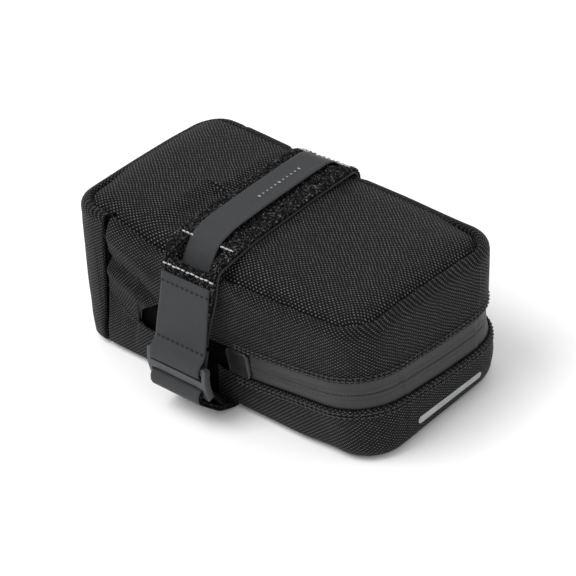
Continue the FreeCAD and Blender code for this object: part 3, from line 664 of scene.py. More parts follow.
# Matt black for the piping and the zip's end backing, and painted shade in the grooves at the welt and under
# the strap
BLACK_AND_PAINTED_SHADE = plastic("matt_black_and_painted_shade", (0.0015, 0.0015, 0.0015), 0.9, 0.04)
BUCKLE = plastic("grey_acetal", (0.045, 0.046, 0.049), 0.42, 0.4, 3200, 0.00004)
PAINT = plastic("black_painted_metal", (0.025, 0.025, 0.027), 0.32, 0.6)
BOARD = plastic("black_board", (0.03, 0.03, 0.03), 0.6, 0.4, 900, 0.00008)
PILE = pile("loop_pile", (0.0004, 0.0004, 0.0005), (0.055, 0.056, 0.058))
# A much lighter copy of the pile for the standing curls: painted highlight where they catch the light
LOOPS = pile("loop_pile_curls", (0.01, 0.01, 0.0108), (0.36, 0.364, 0.375))
PALE_THREAD = thread("pale_thread", (0.55, 0.55, 0.55))
DARK_THREAD = thread("dark_thread", (0.02, 0.02, 0.022))
BLACK_THREAD = thread("black_thread", (0.0015, 0.0015, 0.0016))
BODY_THREAD = thread("body_thread", (0.045, 0.046, 0.048))
MESH = weave("pocket_mesh", (1.6, 1.6), (0.003, 0.003, 0.003), (0.06, 0.06, 0.062), 1.0, 0.0004)
ELASTIC = fine_cloth("ribbed_elastic", 1.4, (0.02, 0.02, 0.021), 0.0003, 0.7)
REFLECTIVE = plastic("reflective_print", (0.31, 0.315, 0.32), 0.4, 0.6, 4200, 0.00003)


# ------------------------------------------------------------------ bag panels

SIDE_STEPS = spread([(0.035, 10), (0.16, 16), (0.10, 26), (0.705, 78)])
SIDE_RUNS = [
    (NEAR, SIDE_STEPS),
    (REAR_NEAR, spread([(1, 24)])[1:]),
    (REAR_END, spread([(1, 40)])[1:]),
    (REAR_FAR, spread([(1, 24)])[1:]),
    (FAR, 1 - SIDE_STEPS[::-1][1:]),
]
NEAR_END = len(SIDE_STEPS) - 1  # the column where the near side ends
FRONT_RUNS = [
    (FRONT_FAR_SIDE, spread([(0.3, 5), (0.7, 7)])),
    (FRONT_FAR, spread([(1, 18)])[1:]),
    (FRONT_END, spread([(1, 44)])[1:]),
    (FRONT_NEAR, spread([(1, 18)])[1:]),
    (FRONT_NEAR_SIDE, spread([(0.7, 7), (0.3, 5)])[1:]),
]


def welt_curl(run, f):
    """Extra inset where a wall turns in to the piping, by distance from the welt."""
    if run in (NEAR, FAR):
        away = SIDE_LENGTH * (f if run == NEAR else 1 - f)
    elif run in (FRONT_FAR_SIDE, FRONT_NEAR_SIDE):
        away = FRONT_SIDE_LENGTH * (f if run == FRONT_FAR_SIDE else 1 - f)
    else:
        return 0.0
    return 3.0 * math.exp(-((away / 1.45) ** 4)) + 0.6 * math.exp(-((away / 4.0) ** 2))


def curl_left(run, t):
    """How much of the turn-in at the welt is left, by the share of the way up. The far side closes at the
    top."""
    return 1 - 0.7 * float(ease(0.6, 1, t)) if run in (FAR, FRONT_FAR_SIDE) else 1.0


def groove_share(x, y):
    """How deep the groove of the top seam is: full on the near side and at the rear, none elsewhere."""
    return np.maximum(1 - ease(-30, -8, y), ease(50, 68, x))


def lip_rows(x, y, curl):
    """Insets and heights of the lip round the top seam, from its outside to the bottom of the groove."""
    level = top_height(x, y) - LIP_DROP
    share = float(groove_share(x, y))
    insets, heights = [], []
    for turn in range(0, 91, 15):
        angle = math.radians(turn)
        insets.append(3.3 - 3.3 * math.cos(angle) + curl * (1 - 0.85 * turn / 90))
        heights.append(level - 3.2 + 4.3 * math.sin(angle))
    groove = ((3.9, 0.85, 1.05), (4.4, 0.3, 0.95), (4.8, -0.5, 0.7), (5.1, -1.6, 0.1), (5.3, -3.0, -0.9))
    for inset, deep, flat in groove:
        insets.append(inset + curl * 0.1)
        heights.append(level + deep * share + flat * (1 - share))
    return insets, heights


def seam_point(run, f):
    """The XY of the top seam beside a column."""
    px, py, nx, ny = plan_point(run, np.array([f]), np.array([TOP_SEAM_Z]))
    return float(px[0] - nx[0] * SEAM), float(py[0] - ny[0] * SEAM)


def upper_rows(run, f, x, y):
    """The upper side wall's column: the hem, the wall, and the lip."""
    curl = welt_curl(run, f)
    low = upper_edge(x, y)
    lip_in, lip_z = lip_rows(*seam_point(run, f), curl * curl_left(run, 1))
    insets = [v + curl for v in (1.1, 0.45, 0.05, -0.1, -0.1, 0.15, 0.1)]
    heights = [low + v for v in (0.15, -0.1, 0.25, 0.9, 1.8, 2.6, 3.6)]
    top = lip_z[0]
    for i in range(1, 15):
        t = i / 15
        insets.append(curl * curl_left(run, t))
        heights.append(heights[6] + (top - heights[6]) * t)
    return insets + lip_in, heights + lip_z


def flare(x):
    """How far the lower shell stands out beyond the upper one, at the rear."""
    return 0.3 + 0.8 * float(ease(25, 82, x))


def base_rows(curl, out, round_share):
    """Insets and heights of the rounded edge from the base seam to the wall."""
    wide, high = 2.8 + 1.6 * round_share, 3.0 + 3.0 * round_share
    insets, heights = [5.3, 5.0, 4.6], [2.2, 1.1, 0.5]
    for turn in range(10, 91, 10):
        angle = math.radians(turn)
        start = 4.4 * (1 - turn / 90) + wide * turn / 90
        insets.append(start - wide * math.sin(angle) + curl - out * 0.6 * math.sin(angle))
        heights.append(0.35 + high * (1 - math.cos(angle)))
    return insets, heights


def lower_rows(run, f, x, y):
    """The lower side wall's column: the rounded base edge, the wall and the hem."""
    curl = welt_curl(run, f)
    out = flare(x)
    high = lower_edge(x, y)
    tuck = 2.0 * float(ease(-66, -61, x) * (1 - ease(END_X - END_REACH - 4, END_X - END_REACH, x)))
    if run == NEAR:
        tuck += 1.8 * float(ease(-28, -20, x) * (1 - ease(-4, 2, x)))
    insets, heights = base_rows(curl, out, float(ease(35, 60, x)))
    start = heights[-1]
    for i in range(1, 10):
        t = i / 10
        insets.append(curl - out * (0.6 + 0.4 * t) + tuck * t)
        heights.append(start + (high - 3.4 - start) * t)
    hem = ((3.2, 0.05), (2.4, 0.2), (1.6, -0.1), (0.8, -0.1), (0.2, 0.1), (-0.15, 0.5), (0.1, 1.2))
    for drop, inset in hem:
        insets.append(inset + curl - out + tuck)
        heights.append(high - drop)
    return insets, heights


def front_rows(run, f, x, y):
    """The front panel's column, from the base seam to the top seam."""
    curl = welt_curl(run, f)
    lip_in, lip_z = lip_rows(*seam_point(run, f), curl * curl_left(run, 1))
    insets, heights = base_rows(curl, 0.2, 0)
    start, top = heights[-1], lip_z[0]
    for i in range(1, 26):
        insets.append(curl * curl_left(run, i / 26))
        heights.append(start + (top - start) * i / 26)
    return insets + lip_in, heights + lip_z


def panel_outline(x, y, inset, level):
    """Signed distance inside the outline of the top or base panel, for points in plan."""
    front, rear, half, r, _ = outline_sizes(np.full_like(x, level))
    middle, length = (rear - front) / 2, (rear + front) / 2 - inset
    r = np.where(x > middle, r - inset, FRONT_CORNER - inset)
    qx = np.abs(x - middle) - (length - r)
    qy = np.abs(y) - (half - inset - r)
    return r - np.hypot(np.maximum(qx, 0), np.maximum(qy, 0)) - np.minimum(np.maximum(qx, qy), 0)


def panel_grid(inset, level, rows, cols, rim):
    """A grid in plan that fills the rounded outline: each row runs from the front edge to the rear edge.
    rim packs rows and columns closer near the edge."""
    front, rear, half, r, _ = outline_sizes(np.array([level]))
    front, rear, half, r = (float(v[0]) for v in (front, rear, half, r))
    reach = half - inset
    us = packed(cols, rim)
    grid = np.zeros((rows, cols, 3))
    for i, y in enumerate(reach * packed(rows, rim)):
        def end(length, radius):
            """How far this row reaches towards one end."""
            over = max(abs(y) - (reach - radius), 0)
            return length - inset - (radius - math.sqrt(max(radius ** 2 - over ** 2, 0)))
        x0, x1 = -end(front, FRONT_CORNER - inset), end(rear, r - inset)
        grid[i, :, 0] = (x0 + x1) / 2 + us * (x1 - x0) / 2
        grid[i, :, 1] = y
    return grid


def sewn(grid, low, high):
    """The thickness of a wall at each row: padded, and thinner at its lower and upper edges."""
    thick = np.full(grid.shape[0], PADDED)
    thick[:len(low)] = low
    thick[-len(high):] = high
    return thick


def make_side_walls():
    """The walls above and below the zip, painted black as shade in the groove at the welt. The lower one is
    also painted black as shade where the strap pinches it.
    """
    upper = wall_grid(SIDE_RUNS, upper_rows)
    # columns in the groove at the welt: painted black as shade
    groove_shade_columns = np.arange(upper.shape[1]) < 4
    made = thick_sheet("upper_side_wall", upper, sewn(upper, HEM_THICK, TOP_EDGE_THICK), WALL_WEAVE_PAINTED_SHADE, LINING,
                       wall_uv(upper, NEAR_END), shaded=groove_shade_columns)
    bend(made, "body_weave", "upper_side_wall_near", "upper_side_wall_far", "upper_side_wall_rear")
    lower = wall_grid(SIDE_RUNS, lower_rows)
    middle = lower[12, :, 0]
    # the strip under the strap on the near side: painted black as shade
    strap_shade_columns = (np.arange(lower.shape[1]) < NEAR_END) & (middle > -25) & (middle < -4)
    made = thick_sheet("lower_side_wall_cloth", lower, sewn(lower, BASE_EDGE_THICK, (0.8, 0.5, 0.35)),
                       WALL_WEAVE_PAINTED_SHADE, LINING, wall_uv(lower, NEAR_END), shaded=groove_shade_columns | strap_shade_columns)
    place(made, "bag", "body_weave", "lower_side_wall")


def make_front():
    """The front panel, from one welt round the end to the other, painted black as shade in the near groove at
    the welt.
    """
    front = wall_grid(FRONT_RUNS, front_rows)
    columns = front.shape[1]
    # the last four columns, in the near groove at the welt, are painted black as shade
    made = thick_sheet("front_panel_cloth", front, sewn(front, BASE_EDGE_THICK, TOP_EDGE_THICK), WALL_WEAVE_PAINTED_SHADE,
                       LINING, wall_uv(front, columns // 2), shaded=np.arange(columns) >= columns - 4)
    place(made, "bag", "body_weave", "front_panel")


def flat_panel(level, rows, cols):
    """A panel's grid, the coordinates of its points and their distance inside its edge."""
    inset = SEAM - 0.2
    grid = panel_grid(inset, level, rows, cols, 0.35)
    x, y = grid[..., 0], grid[..., 1]
    return grid, x, y, np.clip(panel_outline(x, y, inset, level), 0, None), grid[..., :2].copy()


def make_top():
    """The crowned top panel, sunk into the groove of its seam."""
    top, x, y, inside, uv = flat_panel(TOP_SEAM_Z, 120, 190)
    share = groove_share(x, y)
    sunk = (0.25 + 2.85 * share) * np.exp(-inside / (1.8 + 0.8 * share))
    top[..., 2] = top_form(x, y) - sunk
    made = thick_sheet("top_panel", strap_grip(top), PADDED, TOP_WEAVE, LINING, uv)
    bend(made, "body_weave", "top_panel_front", "top_panel_rear")


def make_base():
    """The base panel, just clear of the floor."""
    base, x, y, inside, uv = flat_panel(BASE_SEAM_Z, 70, 130)
    base[..., 2] = 0.12 + 1.5 * np.exp(-inside / 1.4) + 0.25 * np.clip(waves(x, y, 0), 0, None)
    made = thick_sheet("base_panel_cloth", strap_grip(base), 1.2, WALL_WEAVE_PAINTED_SHADE, LINING, uv, flip=True)
    place(made, "bag", "body_weave", "base_panel")


# ------------------------------------------------------------------ strips of cloth

def rounded_path(points, radii, step=0.7):
    """A path in YZ of straight runs and tangent arcs, as evenly spaced points and their directions."""
    pieces = []
    last = np.array(points[0], float)
    for i in range(1, len(points) - 1):
        p = np.array(points[i], float)
        before, after = np.array(points[i - 1], float), np.array(points[i + 1], float)
        into = (p - before) / np.linalg.norm(p - before)
        out = (after - p) / np.linalg.norm(after - p)
        turn = math.acos(max(-1.0, min(1.0, float(into @ out))))
        trim = radii[i - 1] * math.tan(turn / 2)
        sign = 1 if into[0] * out[1] - into[1] * out[0] > 0 else -1
        start, end = p - into * trim, p + out * trim
        pieces.append(np.linspace(last, start, max(2, int(np.linalg.norm(start - last) / 0.2))))
        hub = start + sign * radii[i - 1] * np.array([-into[1], into[0]])
        arm = start - hub
        for angle in np.linspace(0, sign * turn, max(3, int(radii[i - 1] * turn / 0.1)))[1:]:
            c, s = math.cos(angle), math.sin(angle)
            pieces.append((hub + np.array([c * arm[0] - s * arm[1], s * arm[0] + c * arm[1]]))[None])
        last = end
    tail = np.array(points[-1], float)
    pieces.append(np.linspace(last, tail, max(2, int(np.linalg.norm(tail - last) / 0.2))))
    line = np.concatenate(pieces)
    keep = np.concatenate([[True], np.linalg.norm(np.diff(line, axis=0), axis=1) > 1e-6])
    line = line[keep]
    length = lengths(line)
    places = np.linspace(0, length[-1], max(2, int(length[-1] / step) + 1))
    even = np.stack([np.interp(places, length, line[:, k]) for k in (0, 1)], axis=1)
    ways = np.gradient(even, axis=0)
    ways /= np.linalg.norm(ways, axis=1, keepdims=True)
    return even, ways, places


def hole_distance(a, s, hole):
    """Signed distance to a rounded rectangular hole (a0, a1, s0, s1, r): negative inside it."""
    a0, a1, s0, s1, r = hole
    qa = np.abs(a - (a0 + a1) / 2) - ((a1 - a0) / 2 - r)
    qs = np.abs(s - (s0 + s1) / 2) - ((s1 - s0) / 2 - r)
    return np.hypot(np.maximum(qa, 0), np.maximum(qs, 0)) + np.minimum(np.maximum(qa, qs), 0) - r


def on_path(path, s):
    """Y, Z and the direction's Y and Z at distances along a path."""
    line, ways, places = path
    return [np.interp(s, places, v) for v in (line[:, 0], line[:, 1], ways[:, 0], ways[:, 1])]


def offset_path(path, amount):
    """The same path moved outwards, with its distances kept."""
    line, ways, places = path
    return line + np.stack([ways[:, 1], -ways[:, 0]], axis=1) * amount, ways, places


def corners_of(cells):
    """The grid points at the corners of the marked cells."""
    rows, cols = cells.shape
    points = np.zeros((rows + 1, cols + 1), bool)
    for di in (0, 1):
        for dj in (0, 1):
            points[di:di + rows, dj:dj + cols] |= cells
    return points


def cut_hole(a, s, hole):
    """Finds the cells inside a hole and moves the points round them on to its rim."""
    dist = hole_distance(a, s, hole)
    cut = dist[:-1, :-1] + dist[1:, :-1] + dist[:-1, 1:] + dist[1:, 1:] < 0
    on_rim = corners_of(cut) & corners_of(~cut)
    for _ in range(3):
        d = hole_distance(a, s, hole)
        ga = (hole_distance(a + 0.01, s, hole) - d) / 0.01
        gs = (hole_distance(a, s + 0.01, hole) - d) / 0.01
        a[on_rim] -= (d * ga)[on_rim]
        s[on_rim] -= (d * gs)[on_rim]
    return cut


def strip(name, path, width, thick, outer, inner, edge=None, holes=(), across=0.7, rough=0.0, crown=0.0,
          round_edges=0.35, cross=None):
    """A strip of cloth along a path in YZ, STRAP_X at its middle. width and thick are numbers or functions
    of the distance, Y and Z along it. holes are rounded slots. rough lifts the outer face at random, for
    pile. cross moves the strip along X."""
    line, _, places = path
    rng = np.random.default_rng(SEED)
    widths = np.array([width(s, *p) if callable(width) else width for s, p in zip(places, line)])
    thicks = np.array([thick(s, *p) if callable(thick) else thick for s, p in zip(places, line)])
    cols = max(4, int(round(widths.max() / across))) + 1
    share = np.linspace(-0.5, 0.5, cols)
    a = share[None, :] * widths[:, None]
    s = np.broadcast_to(places[:, None], a.shape).copy()
    kept = np.ones((len(places) - 1, cols - 1), bool)
    for hole in holes:
        kept &= ~cut_hole(a, s, hole)
    y, z, wy, wz = on_path(path, s)
    near_rim = np.minimum((0.5 - np.abs(share))[None, :] * widths[:, None], s)
    near_rim = np.maximum(np.minimum(near_rim, places[-1] - s), 0)
    for hole in holes:
        near_rim = np.minimum(near_rim, np.maximum(hole_distance(a, s, hole), 0))
    half = thicks[:, None] / 2 - round_edges * np.clip(1 - near_rim / max(across, 0.5), 0, 1)
    lift = crown * (1 - (2 * share[None, :]) ** 2)
    noise = rng.uniform(-1, 1, a.shape) * rough if rough else 0
    x = STRAP_X + a + (cross(s, y, z) if cross else 0)
    sides = [np.stack([x, y + wz * out, z - wy * out], axis=-1) for out in (half + lift + noise, lift - half)]
    verts = np.concatenate(sides).reshape(-1, 3)
    uv = np.tile(np.stack([a, s], axis=-1).reshape(-1, 2), (2, 1))
    faces, slots = slab_faces(kept)
    used = sorted(set(v for face in faces for v in face))
    index = {v: k for k, v in enumerate(used)}
    faces = [tuple(index[v] for v in face) for face in faces]
    made = new_mesh(name, verts[used], faces, (outer, inner, edge or outer), uv[used], slots)
    face_out(made)
    return made


def near_run(z, offset=0.0):
    """A point on the strap's leaning run down the near side, offset outwards."""
    y = -(CORNER_Y + TURN * math.cos(LEAN)) - (CORNER_Z + TURN * math.sin(LEAN) - z) * math.tan(LEAN)
    return (y - offset * math.cos(LEAN), z + offset * math.sin(LEAN))


def ring_point(degrees, offset=0.0):
    """A point on the buckle's curved plate."""
    r = RING_CURVE + offset
    angle = math.radians(degrees)
    return (RING_CURVE - RING_REACH - r * math.cos(angle), RING_HEIGHT + r * math.sin(angle))


def fuzz(name, places, size):
    """Small thread loops standing on a pile face. places are (point, outward, along) in millimetres."""
    rng = random.Random(SEED)
    verts, faces = [], []
    for point, out, along in places:
        p, n, t = Vector(point), Vector(out).normalized(), Vector(along).normalized()
        t = (Matrix.Rotation(rng.uniform(0, 2 * math.pi), 3, n) @ t).normalized()
        side = n.cross(t)
        high, wide, r = size * rng.uniform(0.5, 1.3), size * rng.uniform(0.35, 0.75), 0.13
        lean = side * rng.uniform(-0.5, 0.5) * high
        start = len(verts)
        for k in range(6):
            angle = math.pi * k / 5
            c = p + t * (-wide * math.cos(angle)) + (n * high + lean) * math.sin(angle) - n * 0.1
            radial = (t * -math.cos(angle) + n * math.sin(angle)).normalized()
            for m in range(3):
                turn = 2 * math.pi * m / 3
                verts.append(c + radial * r * math.cos(turn) + side * r * math.sin(turn))
        faces += tube_faces(start, 6, 3)
    return new_mesh(name, verts, faces, (LOOPS,))


def stitches(name, places, material, length, radius):
    """Short thread stitches, thin and sunk at both ends. places are (point, direction, outward)."""
    rings = ((-0.5, 0.35, -0.75), (-0.36, 0.85, -0.1), (-0.12, 1.0, 0.25))
    rings += tuple((-share, size, rise) for share, size, rise in rings[::-1])
    verts, faces = [], []
    for point, way, out in places:
        p, t, n = Vector(point), Vector(way).normalized(), Vector(out).normalized()
        side = t.cross(n)
        start = len(verts)
        for share, size, rise in rings:
            c = p + t * share * length + n * rise * radius
            for m in range(6):
                angle = 2 * math.pi * m / 6
                verts.append(c + (side * math.cos(angle) + n * math.sin(angle)) * radius * size)
        faces += tube_faces(start, 6, 6, flip=True)
    return new_mesh(name, verts, faces, (material,))


def stitch_row(y, z, out, drift=0.0):
    """Ten stitches side by side across the strap."""
    return [((STRAP_X + drift - 12.4 + 2.75 * k, y, z), (1, 0, 0), out) for k in range(10)]


def stitch_line(line, outs, pitch):
    """Stitch places at an even pitch along a polyline with outward directions."""
    line, outs = np.asarray(line, float), np.asarray(outs, float)
    length = lengths(line)
    spots = np.arange(pitch / 2, length[-1], pitch)

    def sample(values, places):
        """Values at distances along the line."""
        return np.stack([np.interp(places, length, values[:, k]) for k in range(3)], axis=1)

    way = sample(line, spots + 0.3) - sample(line, spots - 0.3)
    rows = zip(sample(line, spots), way, sample(outs, spots))
    return [(p, w, n) for p, w, n in rows if np.linalg.norm(w) > 0.1]


# ------------------------------------------------------------------ strap

def wing_width(s, y, z):
    """The wing's width: full across the top, narrowing to the strap's over the edges."""
    narrow = STRAP_WIDTH + (1.0 - 3.0 * float(ease(60, 36, z)) if y < 0 else 0)
    return WING_WIDTH - (WING_WIDTH - narrow) * float(ease(36, 43, abs(y)))


def backing_width(s, y, z):
    """The smooth backing shows as a thin edge beside the pile."""
    return wing_width(s, y, z) + 1.1


def wing_drift(s, y, z):
    """The wing lies a little askew, nearer the rear at its far end."""
    across = np.interp(y, [-42, -20, 0, 20, 38], [1.4, 0.2, 0.4, 0.9, 1.3])
    return across - 1.5 * (1 - ease(36, 60, z)) * (y < -40)


def slant(s, y, z):
    """The strap drifts a little towards the front on its way down the near side."""
    return 0.7 * ease(10, 60, z) * (y < -30)


def path_hole(path, y0, y1, half):
    """A slot across the strap between two values of Y on the top of the path."""
    line, _, places = path
    upper = line[:, 1] > 62
    order = np.argsort(line[upper, 0])
    s0, s1 = sorted(np.interp([y0, y1], line[upper, 0][order], places[upper][order]))
    return (-half, half, s0, s1, 2.4)


def make_wing():
    """The wing: a smooth backing and a layer of loop pile, both with the two slots for the band."""
    top = CORNER_Z + TURN
    crown = [(y, top + float(np.interp(y, LIFT_Y, LIFT))) for y in (22, 0, -22)]
    points = [(CORNER_Y + TURN, 51), (CORNER_Y + TURN, top + LIFT[-1]), *crown, near_run(top), near_run(35.9)]
    path = rounded_path(points, [TURN, 60, 60, 60, TURN], 0.65)
    holes = [path_hole(path, -42.3, -30.8, 10.2), path_hole(path, 36.0, 42.5, 10.2)]
    backing = strip("strap_wing_backing", offset_path(path, -0.75), backing_width, 0.75, WEBBING, WEBBING,
                    holes=holes, across=0.65, round_edges=0.2, cross=wing_drift)
    place(backing, "bag", "webbing", "strap_wing")
    face = strip("strap_wing_pile", offset_path(path, 0.32), wing_width, 1.65, PILE, PILE, holes=holes,
                 across=0.65, rough=0.16, round_edges=0.3, cross=wing_drift)
    place(face, "bag", "loop_pile")
    place(fuzz("strap_wing_loops", loop_places(path, holes), 0.55), "bag", "loop_pile")
    return path


def loop_places(path, holes):
    """Where the standing loops of the wing's pile are: all over its face, and more along its edges."""
    rng = np.random.default_rng(SEED + 1)
    spots = []
    for _ in range(3800):
        s = rng.uniform(0, path[2][-1])
        y, z, wy, wz = (float(v) for v in on_path(path, s))
        width = wing_width(s, y, z) - 0.9
        on_edge = rng.random() < 0.35
        a = (0.5 if rng.random() < 0.6 else -0.5) * width if on_edge else rng.uniform(-0.5, 0.5) * width
        if any(hole_distance(np.array([a]), np.array([s]), h)[0] < 0.2 for h in holes):
            continue
        rise = rng.uniform(-0.2, 0.9) if on_edge else 1.05
        out = (np.sign(a) * 0.9 if on_edge else 0.0, wz, -wy)
        dx = float(wing_drift(s, y, z))
        spots.append(((STRAP_X + a + dx, y + wz * rise, z - wy * rise), out, (0, wy, wz)))
    return spots


def band_drift(s, y, z):
    """The rail band lies very slightly askew."""
    return np.interp(y, [-30, 30], [-0.2, 0.1])


def make_band():
    """The smooth rail band over the wing, with a row of plain printed ticks."""
    c = BAND_CROWN
    near = [(-42.9, 54.5), (-39.0, 62.0), (-35.4, 67.2), (-31, c - 3.2), (-22, c - 0.9)]
    far = [(24, c + 0.3), (35.5, c + 0.1), (41.0, 71.4), (42.2, 62.0)]
    path = rounded_path([*near, (0, c), *far], [9, 9, 9, 30, 60, 30, 9, 9], 0.9)
    band = strip("rail_band_cloth", path, BAND_WIDTH, 1.0, BAND, BAND, across=0.9, crown=0.25,
                 round_edges=0.3, cross=band_drift)
    place(band, "bag", "band_cloth", "rail_band")
    line = path[0]
    verts, faces = [], []
    order = np.argsort(line[:, 0])
    for k in range(11):
        y = -0.5 + 2.4 * k
        z = float(np.interp(y, line[order, 0], line[order, 1])) + 0.5 + 0.24
        tall = 0.7 if k % 5 == 0 else 0.36
        x = STRAP_X + 1.2
        start = len(verts)
        for dz in (-0.1, 0.06):
            verts += [(x - tall, y - 0.3, z + dz), (x + tall, y - 0.3, z + dz),
                      (x + tall, y + 0.3, z + dz), (x - tall, y + 0.3, z + dz)]
        faces += tube_faces(start, 2, 4)
    ticks = new_mesh("band_tick_marks", verts, faces, (REFLECTIVE,), smooth=False)
    place(ticks, "bag", "reflective")


def make_facing():
    """The grey facing on the near side, folded at its top and looped round the buckle's top bar."""
    bar = (BAR_INNER + BAR_OUTER) / 2
    off = WING_THICK / 2 + 0.45 + 0.02
    around = RING_THICK / 2 + 0.45 + 0.35
    slot_mid = (BAR_MIDDLE + BAR_INNER) / 2
    points = [
        near_run(60.3, off),
        near_run(32.0, off),
        ring_point(bar + 3, around + 0.3),
        ring_point(slot_mid + 0.4, around + 0.1),
        ring_point(slot_mid + 0.4, -around - 0.1),
        ring_point(bar + 4, -around - 0.1),
        near_run(34.9, -0.1),
    ]
    path = rounded_path(points, [6, 4, 0.9, 0.9, 2], 0.45)

    def depth(s, y, z):
        return 1.35 - 0.5 * float(ease(3.2, 3.9, s))

    def width(s, y, z):
        return STRAP_WIDTH - 1.0 + 1.5 * float(ease(4, 26, s))

    facing = strip("strap_facing_cloth", path, width, depth, BAND, WEBBING, across=0.9, round_edges=0.3,
                   cross=slant)
    place(facing, "bag", "band_cloth", "strap_facing")
    dark = []
    for level in (56.6, 33.4):
        y, z = near_run(level, off + 0.44)
        dark += stitch_row(y, z, (0, -math.cos(LEAN), math.sin(LEAN)), float(slant(0, y, z)))
    made = stitches("facing_thread", dark, BLACK_THREAD, 2.1, 0.4)
    place(made, "bag", "thread_dark", "facing_stitches")


def make_wing_thread(path):
    """Pale bar tacks: a full row across each narrow end of the wing and short rows beside the band."""
    reach = TURN + WING_THICK / 2 + 0.35
    places = []
    for sign, degrees, rise in ((-1, 71, 0), (1, 60, LIFT[-1])):
        turn = math.radians(degrees)
        y, z = sign * (CORNER_Y + reach * math.sin(turn)), CORNER_Z + rise + reach * math.cos(turn)
        out = (0, sign * math.sin(turn), math.cos(turn))
        for k in range(11):
            x = STRAP_X + float(wing_drift(0, y, z)) - 13 + 2.6 * k
            wobble = 0.16 * math.sin(k * 2.3)
            places.append(((x, y, z + wobble), (1, 0.04 * math.sin(k * 3.1), 0.08 * math.sin(k * 1.7)), out))
    line, ways, _ = path
    upper = np.flatnonzero(line[:, 1] > 64)[::-1]
    columns = (line[:, 1], ways[:, 0], ways[:, 1])
    for y in (-31.4, 38.0):
        z, wy, wz = (float(np.interp(y, line[upper, 0], v[upper])) for v in columns)
        for side in (-1, 1):
            for k in range(3):
                x = STRAP_X + float(wing_drift(0, y, z)) + side * (8.6 + 2.3 * k)
                places.append(((x, y + wz * 1.45, z - wy * 1.45), (1, 0.12 * side, 0), (0, wz, -wy)))
    made = stitches("wing_thread", places, PALE_THREAD, 2.25, 0.36)
    place(made, "bag", "thread_pale", "wing_stitches")


WEB = 1.2  # thickness of the tail webbing
UPPER_LAYER, LOWER_LAYER = 1.3 + WEB / 2, WEB / 2  # heights of its two layers under the bag
TAIL_INNER_Y = WAIST_HALF + 0.2 + WEB / 2
TAIL_OUTER_Y = TAIL_INNER_Y + WEB + 0.35
SPLIT = 41.5  # where the layers under the bag meet the part that is rolled round the buckle


def make_tail():
    """The tail webbing: down the far side and under the bag, then back under it and up the far side."""
    points = [(TAIL_INNER_Y, 62.5), (TAIL_INNER_Y, UPPER_LAYER), (-SPLIT, UPPER_LAYER)]
    inner = rounded_path(points, [9.4], 0.8)
    made = strip("strap_inner_webbing", inner, STRAP_WIDTH, WEB, WEBBING, WEBBING)
    place(made, "bag", "webbing", "strap_inner_layer")
    points = [(-SPLIT, LOWER_LAYER), (TAIL_OUTER_Y, LOWER_LAYER), (TAIL_OUTER_Y, 13.5)]
    outer = rounded_path(points, [10.8], 0.8)
    made = strip("strap_outer_webbing", outer, STRAP_WIDTH, WEB, WEBBING, PILE, PILE)
    place(made, "bag", "webbing", "strap_outer_layer")


def make_roll():
    """The webbing rolled round the buckle's lower bar, lined with pile."""
    bar_low = ring_point(-(BAR_MIDDLE + BAR_INNER) / 2)[1]
    points = [
        (-SPLIT - 0.4, UPPER_LAYER),
        (-46.5, UPPER_LAYER),
        (-53.2, 14.1),
        (-53.6, bar_low),
        (-60.2, bar_low),
        (-61.0, 13.8),
        (-50.5, LOWER_LAYER + 2.9),
        (-SPLIT - 0.4, LOWER_LAYER),
    ]
    roll = rounded_path(points, [5, 4, 1.6, 2.4, 3.0, 8], 0.4)
    made = strip("strap_roll_cloth", roll, STRAP_WIDTH, WEB, BAND, PILE, PILE, across=0.8, round_edges=0.3,
                 cross=slant)
    place(made, "buckle", "webbing", "strap_roll")
    line, ways, places = offset_path(roll, -1.2)
    middle = roll[0][:, 0]
    part = (middle < -56.5) | ((places > places[middle.argmin()]) & (middle < -43))
    lining = line[part], ways[part], places[part] - places[part][0]
    made = strip("strap_roll_pile", lining, STRAP_WIDTH - 0.3, 1.3, PILE, PILE, rough=0.12, round_edges=0.3,
                 cross=slant)
    place(made, "buckle", "webbing")


def make_free_end():
    """The end of the webbing that sticks to the far side, with its hook pad and two rows of stitches."""
    flap = rounded_path([(TAIL_OUTER_Y, 15.2), (TAIL_OUTER_Y, 48.0)], [], 0.8)

    def depth(s, y, z):
        return WEB + 0.7 * float(ease(25, 26, s))

    made = strip("strap_free_end_cloth", flap, STRAP_WIDTH, depth, WEBBING, PILE, WEBBING)
    place(made, "free_end", "webbing", "strap_free_end")
    rows = []
    for z in (41.4, 46.4):
        rows += stitch_row(TAIL_OUTER_Y + WEB / 2 + 0.4, z, (0, 1, 0))
    place(stitches("free_end_thread", rows, DARK_THREAD, 2.1, 0.26), "free_end", "thread_dark")


def soften(thing, width):
    """Rounds a piece's sharp edges and smooths its shading."""
    bevel = thing.modifiers.new("edges", "BEVEL")
    bevel.width = width * MM
    bevel.segments = 3
    bevel.limit_method = "ANGLE"
    bevel.angle_limit = math.radians(40)
    bpy.context.view_layer.update()
    graph = bpy.context.evaluated_depsgraph_get()
    mesh = bpy.data.meshes.new_from_object(thing.evaluated_get(graph))
    thing.modifiers.clear()
    thing.data = mesh
    mesh.polygons.foreach_set("use_smooth", [True] * len(mesh.polygons))
    mesh.set_sharp_from_angle(angle=math.radians(50))


def mirrored(values, middle=()):
    """A symmetric list of positions from its positive half."""
    return [-v for v in values[::-1]] + [*middle] + values


